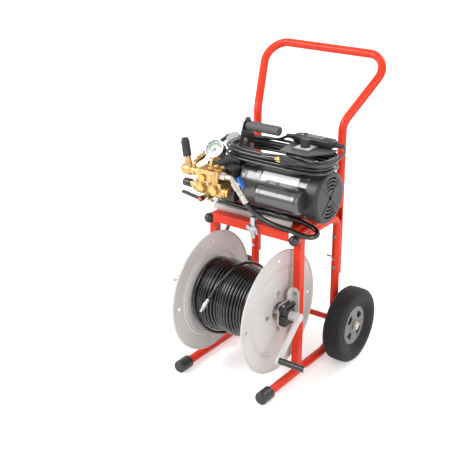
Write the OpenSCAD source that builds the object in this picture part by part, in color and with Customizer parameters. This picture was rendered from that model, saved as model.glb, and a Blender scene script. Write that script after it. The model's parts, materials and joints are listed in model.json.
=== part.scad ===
// Drain jetter: motor and pump on a two-wheel cart with a crank hose reel.
// X runs along the axle, Y to the handle, Z up; the origin lies on the floor under the middle.

/* [Frame] */
// Side tubes, centre to centre
frame_w = 324; // [318:1:340]
// Outside diameter of the frame tubes
tube_d = 28; // [26:0.5:29]
// Wall of the frame tubes
tube_wall = 2; // [1.5:0.1:3]
// Height of the top rails' centreline
rail_z = 492; // [485:1:510]
// Top rails' ball ends ahead of the front posts
rail_nose = 31; // [28:0.5:38]
// Skid, from its front end to the upright
skid_l = 430; // [400:1:440]
// Upper bend radius
top_bend = 45; // [35:1:60]
// Lower bend radius
bottom_bend = 75; // [60:1:80]
// Side of the square front posts
post_w = 25; // [20:1:28]
// Wall of the posts
post_wall = 2; // [1.5:0.1:3]
// Front posts behind the reel axis
post_back = 63; // [60:1:66]
// Foot cap diameter
cap_d = 42; // [38:1:48]
// Foot cap length
cap_l = 52; // [40:1:60]
// Ball cap diameter
ball_d = 34; // [32:1:40]

/* [Handle] */
// Rear uprights to the handle's crossbar, front to back
handle_rake = 182; // [150:1:200]
// Height of the crossbar's centreline
bar_z = 986; // [950:1:1020]
// Height where the arms bend back
arm_bend_z = 797; // [770:1:820]
// Height of the arms' lower ends
arm_low_z = 284; // [260:1:300]
// Outward flare of each arm
handle_flare = 79; // [60:1:90]
// Arm axis behind the upright's axis
arm_lap = 10; // [8:0.5:14]
// Bend radius of the arms
arm_bend = 60; // [45:1:80]
// Bend radius of the top corners
corner_bend = 65; // [50:1:80]

/* [Wheels] */
// Wheel diameter
wheel_d = 254; // [240:1:260]
// Wheel width
wheel_w = 68; // [60:1:74]
// Wheel centre from the middle of the cart
wheel_x = 237; // [232:1:245]
// Hub diameter
hub_d = 132; // [110:1:150]
// Axle diameter
axle_d = 14; // [12:0.5:16]
// Axle tube diameter
axle_tube_d = 19; // [18:0.5:22]

/* [Reel] */
// Reel axis to the rear uprights
reel_to_rear = 292; // [288:1:300]
// Reel axis height
reel_z = 255; // [245:1:262]
// Flange diameter
flange_d = 406; // [380:1:410]
// From a side tube's centreline in to the flange
reel_side = 37; // [36:0.5:40]
// Flange sheet
flange_t = 2; // [1.5:0.1:3]
// Bead diameter on the flange
bead_d = 290; // [260:1:310]
// Drum diameter
drum_d = 150; // [130:1:160]
// Shaft diameter
shaft_d = 20; // [18:0.5:24]
// Crank radius
crank_r = 147; // [130:1:160]
// Crank arm width
arm_w = 26; // [20:1:30]
// Crank grip length
grip_l = 88; // [70:1:95]
// Crank grip diameter
grip_d = 20; // [18:1:26]

/* [Jet hose] */
// Hose diameter
hose_d = 10; // [9:0.1:10]
// Share of the drum's width that the hose fills
hose_fill = 1; // [0.6:0.05:1]
// Winding radius at the hose's centreline
wind_r = 104; // [98:1:108]

/* [Platform] */
// Platform top above the rails' centreline
tray_rise = 24; // [20:1:30]
// Sheet of the tray and crossbar
sheet = 3; // [2:0.5:4]
// Crossbar height
crossbar_h = 31; // [28:1:36]
// Base rail height
base_rail_h = 18; // [16:1:20]
// Base rail depth, front to back
base_rail_w = 20; // [16:1:24]

/* [Motor] */
// Motor axis ahead of the uprights
motor_ahead = 189.5; // [185:0.5:192]
// Axis height above the base
shaft_h = 89; // [86:1:95]
// Shell diameter
motor_d = 160; // [150:1:164]
// Shell length
shell_l = 220; // [210:1:225]
// Fan cover's face from the middle of the cart
motor_right = 242; // [236:1:248]
// Fan cover length
fan_cover_l = 42; // [38:1:46]
// Fan cover diameter
fan_cover_d = 164; // [160:1:170]
// Drive end bell length
bell_l = 28; // [24:1:30]
// Motor shaft diameter
motor_shaft_d = 16; // [14:0.5:19]

/* [Pump] */
// Crankcase length along the shaft
crankcase_l = 110; // [104:1:114]
// Crankcase front from the shaft axis
crankcase_front = 94; // [90:1:98]
// Head width
head_w = 110; // [104:1:114]
// Head depth, front to back
head_depth = 56; // [50:1:62]
// Head top above the shaft axis
head_rise = 59; // [57:1:62]
// Head bottom below the shaft axis
head_drop = 21; // [18:1:26]
// Gauge diameter
gauge_d = 62; // [56:1:66]
// Regulator knob diameter
reg_knob_d = 24; // [22:1:28]
// Regulator knob height
reg_knob_h = 58; // [50:1:64]

/* [Carry handle and switch] */
// Grip height above the motor axis
carry_rise = 175; // [170:1:182]
// Grip length
carry_l = 121; // [105:1:125]
// Grip diameter
carry_d = 30; // [26:1:34]
// Switch plate above the motor axis
plate_rise = 126; // [125:0.5:128]
// Switch knob diameter
switch_d = 30; // [26:1:34]

/* [Hidden] */
$fn = 48;
overrun = 1;
seat_gap = 0.1;
run_gap = 0.05;
air_gap = 0.4;
bend_lap = 0.6;
bend_step = 0.12;

// Frame
tube_r = tube_d / 2;
side_x = frame_w / 2;
flange_r = flange_d / 2;
depth = flange_r + reel_to_rear + handle_rake + tube_r;
reel_y = flange_r - depth / 2;
rear_y = reel_y + reel_to_rear;
post_y = reel_y + post_back;
rail_front = post_y - rail_nose;
skid_front = rear_y - skid_l;
cap_r = cap_d / 2;
foot_flat = 0.5;
skid_z = cap_r - foot_flat;
cap_nose = 8;
cap_round = 8;
ball_r = ball_d / 2;
ball_seat = 8;
tray_z = rail_z + tray_rise;
inside_x = side_x - tube_r - air_gap;
bolt_r = 4;
bolt_head_r = 7;
bolt_head_h = 5;

// Handle
arm_y = rear_y + arm_lap;
bar_x = side_x + handle_flare;
bar_y = rear_y + handle_rake;
arm_bolt_inset = 26;
arm_bolt_step = 110;

// Wheels
wheel_r = wheel_d / 2;
wheel_y = rear_y - tube_r - axle_tube_d / 2 - air_gap;
hub_r = hub_d / 2;
axle_r = axle_d / 2;
tread_round = 16;
groove_w = 4;
groove_deep = 3.5;
groove_step = 10;
groove_count = 5;
dish_r = 90;
dish_half = 20.5;
hub_half = 19.5;
hub_web = 5;
hub_boss_r = 22;
hub_boss_half = 22;
hub_recess = 16;
hub_rim = 8;
hub_openings = 4;
opening_in = 29;
opening_out = 50;
opening_in_w = 18;
opening_out_w = 36;
washer_r = 17;
washer_h = 2.5;
nut_r = 13;
nut_h = 6;
spacer_r = 12;
axle_end = 2;

// Reel
reel_face = side_x - reel_side;
shaft_r = shaft_d / 2;
drum_r = drum_d / 2;
drum_wall = 3;
dish = 4;
dish_slope = 7;
rim_r = 4;
flange_eye = 30;
flange_bolt_ring = 63;
flange_bolts_n = 4;
flange_slot_out = 8;
flange_slot_l = 13;
flange_slot_w = 6;
flange_hole_r = 5;
flange_hole_ring = 172;
reel_plate = 3;
plate_x = side_x - post_w / 2 - air_gap;
plate_ahead = 30;
plate_low = 33;
plate_high = 70;
plate_cut = 14;
plate_step = 37;
plate_top_w = 27;
block_w = 25;
block_l = 54;
block_h = 66;
block_split = 2;
small_bolt_r = 3;
small_head_r = 6;
small_head_h = 4;
crank_hub_r = 15;
crank_hub_x = plate_x + block_w + air_gap;
crank_hub_l = 36;
crank_t = 8;
crank_boss = 2;
crank_deg = 41;
pin_r = 6;
pin_cap_r = 8;
pin_cap_h = 4;
swivel_r = 15;
swivel_x = plate_x + block_w + 12 * air_gap;
swivel_l = 46;
swivel_seat = 22;
elbow_r = 12;
nipple_r = 9;

crank_end = crank_hub_x + crank_hub_l + grip_l + 2 * air_gap + pin_cap_h;
mid_x = (wheel_x + wheel_w / 2 - crank_end) / 2;

// Latch
latch_x = 15;
latch_w = 34;
latch_h = 30;
latch_t = 3;
latch_post_r = 5;
latch_throw = 10;
wing_r = 20;
wing_t = 6;
wing_lobe_r = 7;
strap_w = 16;
strap_t = 3;
lip_over = 3;
strap_tail = 30;

// Base
crossbar_front = 33;
crossbar_flange = 30;
rail_gap = 2;
base_left = 165;
base_right = 125;
base_span = 96;
base_t = 4;
base_front_gap = 11;
plate_left = 80;
plate_right = 130;
saddle_t = 20;
saddle_w = 90;
saddle_in = 85;
saddle_front_in = 23.5;
ear_front = 40;
ear_l = 54;
ear_h = 25;
tray_back_gap = 1;

// Motor
motor_y = rear_y - motor_ahead;
base_z = tray_z + base_rail_h + base_t;
motor_z = base_z + shaft_h;
motor_r = motor_d / 2;
shell_right = motor_right - fan_cover_l;
shell_left = shell_right - shell_l;
bell_face = shell_left - bell_l;
bell_round = 12;
rotor_r = 51;
rotor_air = 1;
rotor_inset = 40;
shell_end = 15;
motor_shaft_r = motor_shaft_d / 2;
fan_cover_r = fan_cover_d / 2;
fan_cover_wall = 3;
fan_cover_round = 10;
fan_r = 66;
fan_l = 22;
fan_hub_r = 16;
fan_blade_t = 3;
fan_blades = 7;
slot_w = 5;
slot_first = 26;
slot_step = 11;
slot_count = 4;
slot_deg = 62;
eye_r = 7;
rib_w = 2;
rib_h = 1.5;
cap_cover_r = 36;
cap_cover_left = 62;
cap_cover_l = 143;
cap_cover_out = 102;
cap_cover_up = 5;
cap_cover_round = 8;

// Pump
pump_mid = bell_face - crankcase_l / 2;
crankcase_back = 50;
crankcase_low = 50;
crankcase_high = 55;
fin_w = 5;
fin_step = 11;
fin_deep = 6;
fin_count = 9;
shaft_in = 70;
head_left = pump_mid - head_w / 2;
head_right = pump_mid + head_w / 2;
head_back = motor_y - crankcase_front;
head_front = head_back - head_depth;
head_top = motor_z + head_rise;
head_low = motor_z - head_drop;
top_flange = 14;
top_lip = 3;
deck_in_left = 8;
deck_in_right = 22;
deck_left = head_left + deck_in_left;
deck_right = head_right - deck_in_right;
deck_round = 12;
deck_back = 2;
lower_in = 6;
lower_lift = 2;
lower_rise = 45;
body_in = 4;
body_step = 1;
head_post_back = 11;
head_post_side = 4.6;
head_post_r = 13;
column_step = 48;
upper_boss_r = 11;
upper_boss_out = 3.5;
upper_boss_drop = 27;
barrel_r = 17;
barrel_out = 7;
barrel_rise = 1;
gallery_r = 16;
gallery_out = 5;
gallery_back = 15;
cap_hex_r = 13;
cap_hex_h = 6;
top_plug_r = 8;
top_plug_h = 6;
top_plug_step = 22;
top_plug_back = 12;
end_plug_r = 14;
end_plug_h = 7;
screw_r = 4.2;
screw_h = 5;
guard_left = 47;
guard_w = 52;
guard_back = 90;
guard_front = 4;
guard_t = 1.5;
guard_lift = 8;
guard_leg = 6;
guard_hole_r = 3;
guard_hole_step = 9;
reg_y = head_front + 20;
reg_z = motor_z + 41;
reg_r = 12;
reg_l = 60;
tee_in = 36;
tee_side = 26;
stem_r = 10;
stem_h = 30;
stem_lean = 9;
spindle_r = 5;
spindle_h = 24;
knob_rib_r = 1.6;
knob_ribs = 10;
chamber_drop = 3;
chamber_neck_l = 27;
chamber_neck_r = 10;
chamber_l = 28;
chamber_r = 13.5;
outlet_in = 15;
outlet_up = 24;
outlet_r = 7;
outlet_bend = 14;
collar_r = 10;
collar_h = 10;
gauge_r = gauge_d / 2;
gauge_depth = 28;
gauge_rim = 3;
gauge_well = 9;
gauge_tilt = 49;
gauge_turn = -83;
gauge_back = 35;
gauge_rise = 122;
gauge_side = 3;
gauge_stem_r = 5;
gauge_stem_l = 14;
gauge_stem_bend = 12;
lens_t = 1.5;
needle_l = 20;
needle_w = 1.8;
needle_t = 0.8;
needle_hub_r = 3;
needle_pin_r = 1;
needle_lift = 1.5;
inlet_back = 22;
inlet_rise = 43;
inlet_reach = 18;
inlet_nut_r = 13;
inlet_nut_l = 20;
inlet_pipe_r = 9;
inlet_bend = 12;
valve_r = 13;
valve_from = 14;
valve_l = 26;
barb_r = 10.5;
barb_l = 16;
bonnet_r = 6;
bonnet_h = 20;
lever_l = 36;
lever_w = 12;
lever_t = 6;
lever_hub_r = 8;
pulse_drop = 26;
pulse_side = 10;
pulse_hub_r = 9;
pulse_post_r = 5;
pulse_out = 15;
pulse_boss = 20;
pulse_hub_h = 14;
pulse_l = 68;
pulse_w = 10;
pulse_t = 7;
pulse_deg = 8;
button_r = 5.5;
button_h = 7;
button_proud = 4;
button_travel = 2;

// Carry handle and switch
bracket_t = 4;
bracket_in = 14;
bracket_w = 78;
bracket_top_w = 34;
bracket_foot = 33;
bracket_shoulder = 80;
bracket_foot_w = 66;
carry_bolt_r = 6;
carry_bolt_h = 6;
carry_round = 5;
box_left = 95;
box_w = 70;
box_depth = 60;
box_ahead = 22;
gland_r = 6;
gland_l = 11;
wrap_t = 4;
wrap_left = 67;
wrap_right = 224;
wrap_front = 36;
wrap_back = 64;
wrap_nose = 81;
wrap_corner = 175;
escutcheon = 58;
escutcheon_h = 6;
switch_x = 138;
switch_back = 18;
switch_h = 24;
switch_bar_w = 9;
switch_collar_h = 4;
switch_post_r = 5;

// Cords
cord_d = 9.5;
cord_r = cord_d / 2;
hose_r = hose_d / 2;
water_r = 8.25;
feed_r = 7;
coil_mid = [67, -40];
coil_half = [182, 82];
coil_pitch = 11.5;
coil_layer = 11.1;
coil_rise = 87;
coil_low = motor_z + coil_rise;
coil_turns = 7.36;
coil_start_deg = -120;
coil_round_share = 0.6;
coil_rings = 24;
plug_room = 26;
plug_room_x = 140;
plug_room_half = 95;
// Cord and hose routes; their heights are taken from the motor's axis
coil_in = raised([
    [84, -50, 87], [74, -50, 87], [54, -55, 87], [34, -66, 87], [15, -78, 87], [-6, -87, 87]
], motor_z);
coil_out = raised([[10, 27, 126], [35, 28.5, 137], [52, 28, 143], [62, 28, 143]], motor_z);
lead_route = raised([
    [222, 28, 143], [234, 28, 143], [248, 22, 141], [258, 8, 137], [262, -12, 132], [262, -36, 126],
    [260, -60, 121], [252, -84, 118], [238, -104, 117], [220, -117, 117], [202, -122, 118], [184, -122, 118]
], motor_z);
water_route = raised([
    [8, -168, -3], [24, -168, -22.4], [38, -167, -38], [55, -163, -54], [76, -153, -71], [98, -138, -86],
    [122, -124, -96], [150, -115, -102], [178, -112, -109], [202, -107, -113], [218, -94, -114.5],
    [222, -77, -113.5], [213, -61, -110], [196, -54, -104.5], [178, -54, -98.5], [160, -58.5, -92],
    [142, -65, -86.5], [120, -70.5, -83.5], [90, -71, -83.5], [45, -71, -83.5], [0, -71, -83.5],
    [-60, -71, -83.5], [-115, -71, -82.5], [-135, -71, -82], [-150, -71, -82]
], motor_z);
feed_route = [
    [-173, -115, 707], [-173, -100, 711.1], [-172, -75, 718], [-170, -40, 728], [-168, 0, 736],
    [-169, 35, 736], [-174, 65, 722], [-182, 88, 690], [-189, 100, 645], [-194, 104, 595], [-197, 100, 545],
    [-198, 88, 495], [-198, 70, 450], [-199, 45, 408], [-204, 15, 368], [-213, -18, 330], [-225, -50, 299],
    [-239, -80, 274], [-247, -98, 261], [-250, -112, 255], [-250, -125, 255]
];
ferrule_r = 9.8;
ferrule_l = 24;
coupling_r = 14;
coupling_l = 24;
coupling_bore = 9.5;
coupling_deep = 14;
fault_w = 40;
fault_h = 27;
plug_l = 66;
plug_w = 26;
plug_h = 26;
blade_l = 20;
blade_w = 6.5;
blade_t = 1.6;
blade_step = 12.5;
earth_r = 2.4;

// Jet hose winding
wind_rings = 24;
wind_pitch = 10.9;
hose_turns = floor(2 * hose_fill * (reel_face - hose_d) / wind_pitch);
wind_half = wind_pitch * hose_turns / 2;
hump_left = -78;
hump_left_half = 46;
hump_left_h = 11;
hump_mid = 2;
hump_mid_half = 44;
hump_mid_h = 8;
tail_turns = 1.29;
tail_lift = 2.8;
lift_turns = 0.3;
tail_rise = 3.5;
tail_end_deg = -22;
tail_out = 125.45;
tail_in = 65.45;
tail_far = tail_out - wind_half;
tail_end_x = tail_in - wind_half;
tip_r = 6.5;
tip_l = 34;
tip_thread_r = 5;
tip_thread_l = 12;
tip_hex_h = 10;
tip_hex_r = 8.5;

// Shared shapes

function unit(v) = v / norm(v);
function raised(route, rise) = [for (p = route) p + [0, 0, rise]];
function clamp01(v) = min(1, max(0, v));
function turn_at(p, i) = acos(unit(p[i] - p[i - 1]) * unit(p[i + 1] - p[i]));
function setback(p, bends, i) = bends[i - 1] * tan(turn_at(p, i) / 2);
// The same path with both ends drawn out by e
function drawn_out(p, e) = let (last = len(p) - 1) [
    for (i = [0 : last])
        i == 0 ? p[0] - unit(p[1] - p[0]) * e
        : i == last ? p[last] + unit(p[last] - p[last - 1]) * e
        : p[i]
];

module aim(a, b) {
    d = unit(b - a);
    translate(a) rotate([0, acos(d[2]), atan2(d[1], d[0])]) children();
}

module rod(a, b, r) aim(a, b) cylinder(h = norm(b - a), r = r);
module rod_x(x0, x1, y, z, r) translate([x0, y, z]) rotate([0, 90, 0]) cylinder(h = x1 - x0, r = r);
module rod_y(y0, y1, x, z, r) translate([x, y0, z]) rotate([-90, 0, 0]) cylinder(h = y1 - y0, r = r);
module rod_z(z0, z1, x, y, r) translate([x, y, z0]) cylinder(h = z1 - z0, r = r);
module block(low, high) translate(low) cube(high - low);

// The cart's middle plane stands off the origin, which is centred between the left tyre and the crank's end
module on_cart() translate([mid_x, 0, 0]) children();

module both_sides() {
    children();
    mirror([1, 0, 0]) children();
}

// One bend of a tube between three points of its path
module bend(a, b, c, bend_r, r) {
    u = unit(b - a);
    w = unit(c - b);
    angle = acos(u * w);
    start = b - u * bend_r * tan(angle / 2);
    middle = b + unit(w - u) * bend_r / cos(angle / 2);
    e = unit(start - middle);
    n = cross(e, u);
    multmatrix([
        [e[0], u[0], n[0], middle[0]],
        [e[1], u[1], n[1], middle[1]],
        [e[2], u[2], n[2], middle[2]],
        [0, 0, 0, 1]
    ]) rotate_extrude(angle = angle) translate([bend_r, 0]) circle(r - bend_step);
}

// A round bar or tube along a path, with a radius at each inner point; its straights lap into the bends
module bent_bar(p, bends, r) {
    last = len(p) - 1;
    for (i = [0 : last - 1]) {
        u = unit(p[i + 1] - p[i]);
        from = i == 0 ? p[i] : p[i] + u * (setback(p, bends, i) - bend_lap);
        to = i + 1 == last ? p[i + 1] : p[i + 1] - u * (setback(p, bends, i + 1) - bend_lap);
        rod(from, to, r);
    }
    for (i = [1 : last - 1]) bend(p[i - 1], p[i], p[i + 1], bends[i - 1], r);
}

// A solid of revolution with a rounded far edge, along +Z
module rounded_end(r, h, round_r) {
    rotate_extrude() {
        square([r, h - round_r]);
        square([r - round_r, h]);
        translate([r - round_r, h - round_r]) intersection() {
            circle(round_r);
            square(round_r);
        }
    }
}

// Frames of a swept cord: tangents, then normals carried along the path
function tangents(p) = [
    for (i = [0 : len(p) - 1]) unit(p[min(i + 1, len(p) - 1)] - p[max(i - 1, 0)])
];
function carried(n, t) = unit(n - t * (n * t));
function normals(t) = [
    for (i = 0, n = carried(abs(t[0][2]) > abs(t[0][0]) ? [1, 0, 0] : [0, 0, 1], t[0]);
        i < len(t);
        i = i + 1, n = i < len(t) ? carried(n, t[i]) : n) n
];
function ring_points(c, t, n, r, sides) = let (b = cross(t, n)) [
    for (j = [0 : sides - 1]) c + r * (cos(360 * j / sides) * n + sin(360 * j / sides) * b)
];
function tube_faces(rings, sides) = concat(
    [for (i = [0 : rings - 2], j = [0 : sides - 1])
        [i * sides + j, (i + 1) * sides + j, i * sides + (j + 1) % sides]],
    [for (i = [0 : rings - 2], j = [0 : sides - 1])
        [i * sides + (j + 1) % sides, (i + 1) * sides + j, (i + 1) * sides + (j + 1) % sides]],
    [for (j = [1 : sides - 2]) [0, j, j + 1]],
    [for (j = [1 : sides - 2]) let (e = (rings - 1) * sides) [e, e + j + 1, e + j]]
);

module cord(p, r, sides) {
    t = tangents(p);
    n = normals(t);
    points = [for (i = [0 : len(p) - 1]) each ring_points(p[i], t[i], n[i], r, sides)];
    polyhedron(points = points, faces = tube_faces(len(p), sides));
}

// Distance from a point to a stretch between two points
function off_stretch(q, a, b) = let (d = b - a, s = clamp01((q - a) * d / (d * d))) norm(q - a - d * s);
// Least gap between stretches of one cord that are more than skip rings apart and less than reach
function self_gap(p, r, skip, reach) = min([
    for (i = [0 : len(p) - 1])
        for (j = [i + skip : min(i + reach, len(p) - 2)]) off_stretch(p[i], p[j], p[j + 1])
]) - 2 * r;

// Cart frame

side_path = [
    [side_x, skid_front, skid_z],
    [side_x, rear_y, skid_z],
    [side_x, rear_y, rail_z],
    [side_x, rail_front, rail_z]
];
module side_tube(r, out = 0) bent_bar(drawn_out(side_path, out), [bottom_bend, top_bend], r);

module arm_bolt_places() {
    for (i = [0, 1]) translate([side_x, 0, arm_low_z + arm_bolt_inset + i * arm_bolt_step]) children();
}

module side_frames() color("orangered") on_cart() both_sides() difference() {
    side_tube(tube_r);
    side_tube(tube_r - tube_wall, overrun);
    arm_bolt_places() rod_y(rear_y - tube_d, rear_y + tube_d, 0, 0, bolt_r + seat_gap);
}

handle_path = [
    [side_x, arm_y, arm_low_z],
    [side_x, arm_y, arm_bend_z],
    [bar_x, bar_y, bar_z],
    [-bar_x, bar_y, bar_z],
    [-side_x, arm_y, arm_bend_z],
    [-side_x, arm_y, arm_low_z]
];
handle_bends = [arm_bend, corner_bend, corner_bend, arm_bend];

module push_handle() color("orangered") on_cart() difference() {
    bent_bar(handle_path, handle_bends, tube_r);
    bent_bar(drawn_out(handle_path, overrun), handle_bends, tube_r - tube_wall);
    both_sides() {
        rod_z(arm_low_z - overrun, rail_z + tube_d, side_x, rear_y, tube_r + seat_gap);
        arm_bolt_places() rod_y(rear_y, arm_y + tube_d, 0, 0, bolt_r + seat_gap);
    }
}

module bracket_bolt_places() {
    for (s = [-1, 1])
        translate([side_x, 0, reel_z + (plate_high - plate_low) / 2 + s * (plate_high + plate_low) / 3])
            children();
}

module front_post() difference() {
    block(
        [side_x - post_w / 2, post_y - post_w / 2, skid_z],
        [side_x + post_w / 2, post_y + post_w / 2, rail_z]
    );
    block(
        [side_x - post_w / 2 + post_wall, post_y - post_w / 2 + post_wall, 0],
        [side_x + post_w / 2 - post_wall, post_y + post_w / 2 - post_wall, rail_z + overrun]
    );
    side_tube(tube_r + seat_gap);
    bracket_bolt_places() rod_y(post_y - post_w, post_y, 0, 0, small_bolt_r + seat_gap);
}

module frame_struts() color("orangered") on_cart() {
    both_sides() front_post();
    difference() {
        rod_x(-side_x - tube_r, side_x + tube_r, wheel_y, wheel_r, axle_tube_d / 2);
        rod_x(-side_x - tube_d, side_x + tube_d, wheel_y, wheel_r, axle_r + seat_gap);
    }
}

crossbar_y = post_y - crossbar_front - sheet;
crossbar_half = side_x - ball_r - air_gap;

module front_crossbar() color("orangered") on_cart() {
    block([-crossbar_half, crossbar_y, tray_z - crossbar_h], [crossbar_half, crossbar_y + sheet, tray_z]);
    block([-crossbar_half, crossbar_y, tray_z - sheet], [crossbar_half, tray_front, tray_z]);
}

tray_front = crossbar_y + crossbar_flange;
tray_back = rear_y - tube_r - tray_back_gap;

module platform_tray() color("firebrick") on_cart() {
    block([-inside_x, tray_front, tray_z - sheet], [inside_x, tray_back, tray_z]);
    both_sides() {
        block([inside_x - sheet, tray_front, rail_z - tube_r], [inside_x, tray_back - top_bend, tray_z]);
        block(
            [inside_x - sheet, tray_front + ear_front, tray_z - sheet],
            [inside_x, tray_front + ear_front + ear_l, tray_z + ear_h]
        );
    }
}

module axle() color("silver") on_cart()
    rod_x(-wheel_x - wheel_w / 2 + axle_end, wheel_x + wheel_w / 2 - axle_end, wheel_y, wheel_r, axle_r);

module tube_caps() color("#2b2c2e") on_cart() both_sides() {
    difference() {
        translate([side_x, skid_front + cap_l - cap_nose, skid_z]) rotate([90, 0, 0])
            rounded_end(cap_r, cap_l, cap_round);
        rod_y(skid_front, skid_front + cap_l + overrun, side_x, skid_z, tube_r + seat_gap);
        block([side_x - cap_r, skid_front - cap_l, -cap_r], [side_x + cap_r, skid_front + cap_l, 0]);
    }
    translate([side_x, rail_front, rail_z]) rotate([-90, 0, 0]) rotate_extrude() intersection() {
        difference() {
            circle(ball_r);
            square([tube_r + seat_gap, ball_d]);
        }
        translate([0, -ball_d]) square([ball_d, 2 * ball_d]);
    }
}

// Hose reel

post_front = post_y - post_w / 2;

module reel_plate() difference() {
    union() {
        block(
            [plate_x - reel_plate, reel_y - plate_ahead, reel_z - plate_low],
            [plate_x, post_front, reel_z + plate_high]
        );
        block(
            [plate_x - reel_plate, post_front - reel_plate, reel_z - plate_low],
            [side_x + post_w / 2, post_front, reel_z + plate_high]
        );
    }
    rod_x(plate_x - block_w, plate_x + block_w, reel_y, reel_z, shaft_r + air_gap);
    block(
        [plate_x - reel_plate - overrun, reel_y - plate_ahead - overrun, reel_z + plate_step],
        [plate_x + overrun, post_front - plate_top_w, reel_z + plate_high + overrun]
    );
    for (corner = [[reel_y - plate_ahead, plate_step], [post_front - plate_top_w, plate_high]])
        translate([plate_x, corner[0], reel_z + corner[1]]) rotate([45, 0, 0])
            cube([block_w, plate_cut, plate_cut], center = true);
    translate([side_x + post_w / 2, post_front, reel_z + plate_high]) rotate([0, 45, 0])
        cube([plate_cut, plate_cut, plate_cut], center = true);
    bracket_bolt_places() rod_y(post_front - block_w, post_front + block_w, 0, 0, small_bolt_r + seat_gap);
}

module reel_brackets() color("gainsboro") on_cart() both_sides() reel_plate();

module bearing_blocks() color("#222326") on_cart() both_sides() difference() {
    block(
        [plate_x, reel_y - block_l / 2, reel_z - block_h / 2],
        [plate_x + block_w, reel_y + block_l / 2, reel_z + block_h / 2]
    );
    rod_x(plate_x - overrun, plate_x + block_w + overrun, reel_y, reel_z, shaft_r + run_gap);
    for (s = [0, 1]) mirror([0, s, 0]) translate([0, s * -2 * reel_y, 0])
        block(
            [plate_x - overrun, reel_y + shaft_d, reel_z - block_split / 2],
            [plate_x + block_w + overrun, reel_y + block_l, reel_z + block_split / 2]
        );
}

module flange_bolt_places() {
    for (i = [0 : flange_bolts_n - 1])
        translate([0, reel_y, reel_z]) rotate([360 * i / flange_bolts_n, 0, 0])
            translate([0, flange_bolt_ring, 0]) children();
}

module reel_flange() difference() {
    translate([0, reel_y, reel_z]) rotate([0, 90, 0]) rotate_extrude($fn = 96) {
        polygon([
            [flange_eye, reel_face],
            [bead_d / 2, reel_face],
            [bead_d / 2 + dish_slope, reel_face + dish],
            [flange_r - rim_r, reel_face + dish],
            [flange_r - rim_r, reel_face + dish + flange_t],
            [bead_d / 2 + dish_slope, reel_face + dish + flange_t],
            [bead_d / 2, reel_face + flange_t],
            [flange_eye, reel_face + flange_t]
        ]);
        translate([flange_r - rim_r, reel_face + dish + flange_t]) circle(rim_r);
    }
    flange_bolt_places() rod_x(reel_face - overrun, reel_face + flange_t + overrun, 0, 0, bolt_r + seat_gap);
    for (i = [0 : flange_bolts_n - 1])
        translate([0, reel_y, reel_z]) rotate([360 * i / flange_bolts_n, 0, 0])
            rod_x(reel_face, reel_face + 2 * (dish + flange_t), flange_hole_ring, 0, flange_hole_r);
    flange_bolt_places() block(
        [reel_face - overrun, -flange_slot_out - flange_slot_l, -flange_slot_w / 2],
        [reel_face + flange_t + overrun, -flange_slot_out, flange_slot_w / 2]
    );
}

module reel_flanges() color("lightgray") on_cart() both_sides() reel_flange();

shaft_left = swivel_x + swivel_seat;
shaft_right = crank_hub_x + crank_hub_l / 2;

module reel_drum() color("gray") on_cart() difference() {
    union() {
        rod_x(-shaft_left, shaft_right, reel_y, reel_z, shaft_r);
        difference() {
            rod_x(-reel_face, reel_face, reel_y, reel_z, drum_r);
            rod_x(-reel_face + drum_wall, reel_face - drum_wall, reel_y, reel_z, drum_r - drum_wall);
        }
    }
    both_sides() flange_bolt_places()
        rod_x(reel_face - drum_wall - overrun, reel_face + overrun, 0, 0, bolt_r + seat_gap);
}

module flange_bolts() color("silver") on_cart() both_sides() flange_bolt_places() {
    rod_x(reel_face - 2 * drum_wall, reel_face + flange_t, 0, 0, bolt_r);
    translate([reel_face + flange_t, 0, 0]) rotate([0, 90, 0])
        cylinder(h = bolt_head_h, r = bolt_head_r, $fn = 6);
}

// Two humps in the lay of the hose along the drum
function hump(x, middle, half) = abs(x - middle) < half ? (1 + cos(180 * (x - middle) / half)) / 2 : 0;
function lay_r(x) = wind_r + hump_left_h * hump(x, hump_left, hump_left_half)
    + hump_mid_h * hump(x, hump_mid, hump_mid_half);
function round_reel(x, r, deg) = [x, reel_y - r * cos(deg), reel_z - r * sin(deg)];
function ease(s) = let (c = clamp01(s)) c * c * (3 - 2 * c);
// The tail climbs over the last turns at the left flange, crosses to the right and comes back to the front
function tail_x(s) = s < 0.6
    ? -wind_half + (tail_far + wind_half) * ease((s - 0.25) / 0.35)
    : tail_far + (tail_end_x - tail_far) * pow((s - 0.6) / 0.4, 2);
wind_total = hose_turns + tail_turns;
function wind_deg(t) = 360 * (t - wind_total) + tail_end_deg;
function wind_point(t) = let (
    s = (t - hose_turns) / tail_turns,
    x = t <= hose_turns ? wind_half - wind_pitch * t : tail_x(s),
    lifted = ease((t - hose_turns + lift_turns) / (2 * lift_turns)),
    r = lay_r(x) + (hose_d + tail_lift) * lifted + tail_rise * ease((s - 0.8) / 0.2)
) round_reel(x, r, wind_deg(t));
wind_steps = floor(wind_total * wind_rings);
wind_turned = [for (i = [0 : wind_steps]) wind_point(wind_total - (wind_steps - i) / wind_rings)];
wind_head = unit(wind_turned[0] - wind_turned[1]);
wind_tail = unit(wind_turned[wind_steps] - wind_turned[wind_steps - 1]);
wind_path = concat(
    [wind_turned[0] + wind_head * hose_d],
    wind_turned,
    [wind_turned[wind_steps] + wind_tail * hose_d]
);
tip_start = wind_path[len(wind_path) - 1];

module hose_winding() {
    echo(hose_winding_gap = self_gap(wind_path, hose_r, 12, 60));
    color("#151617") on_cart() cord(wind_path, hose_r, 6);
}

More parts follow.
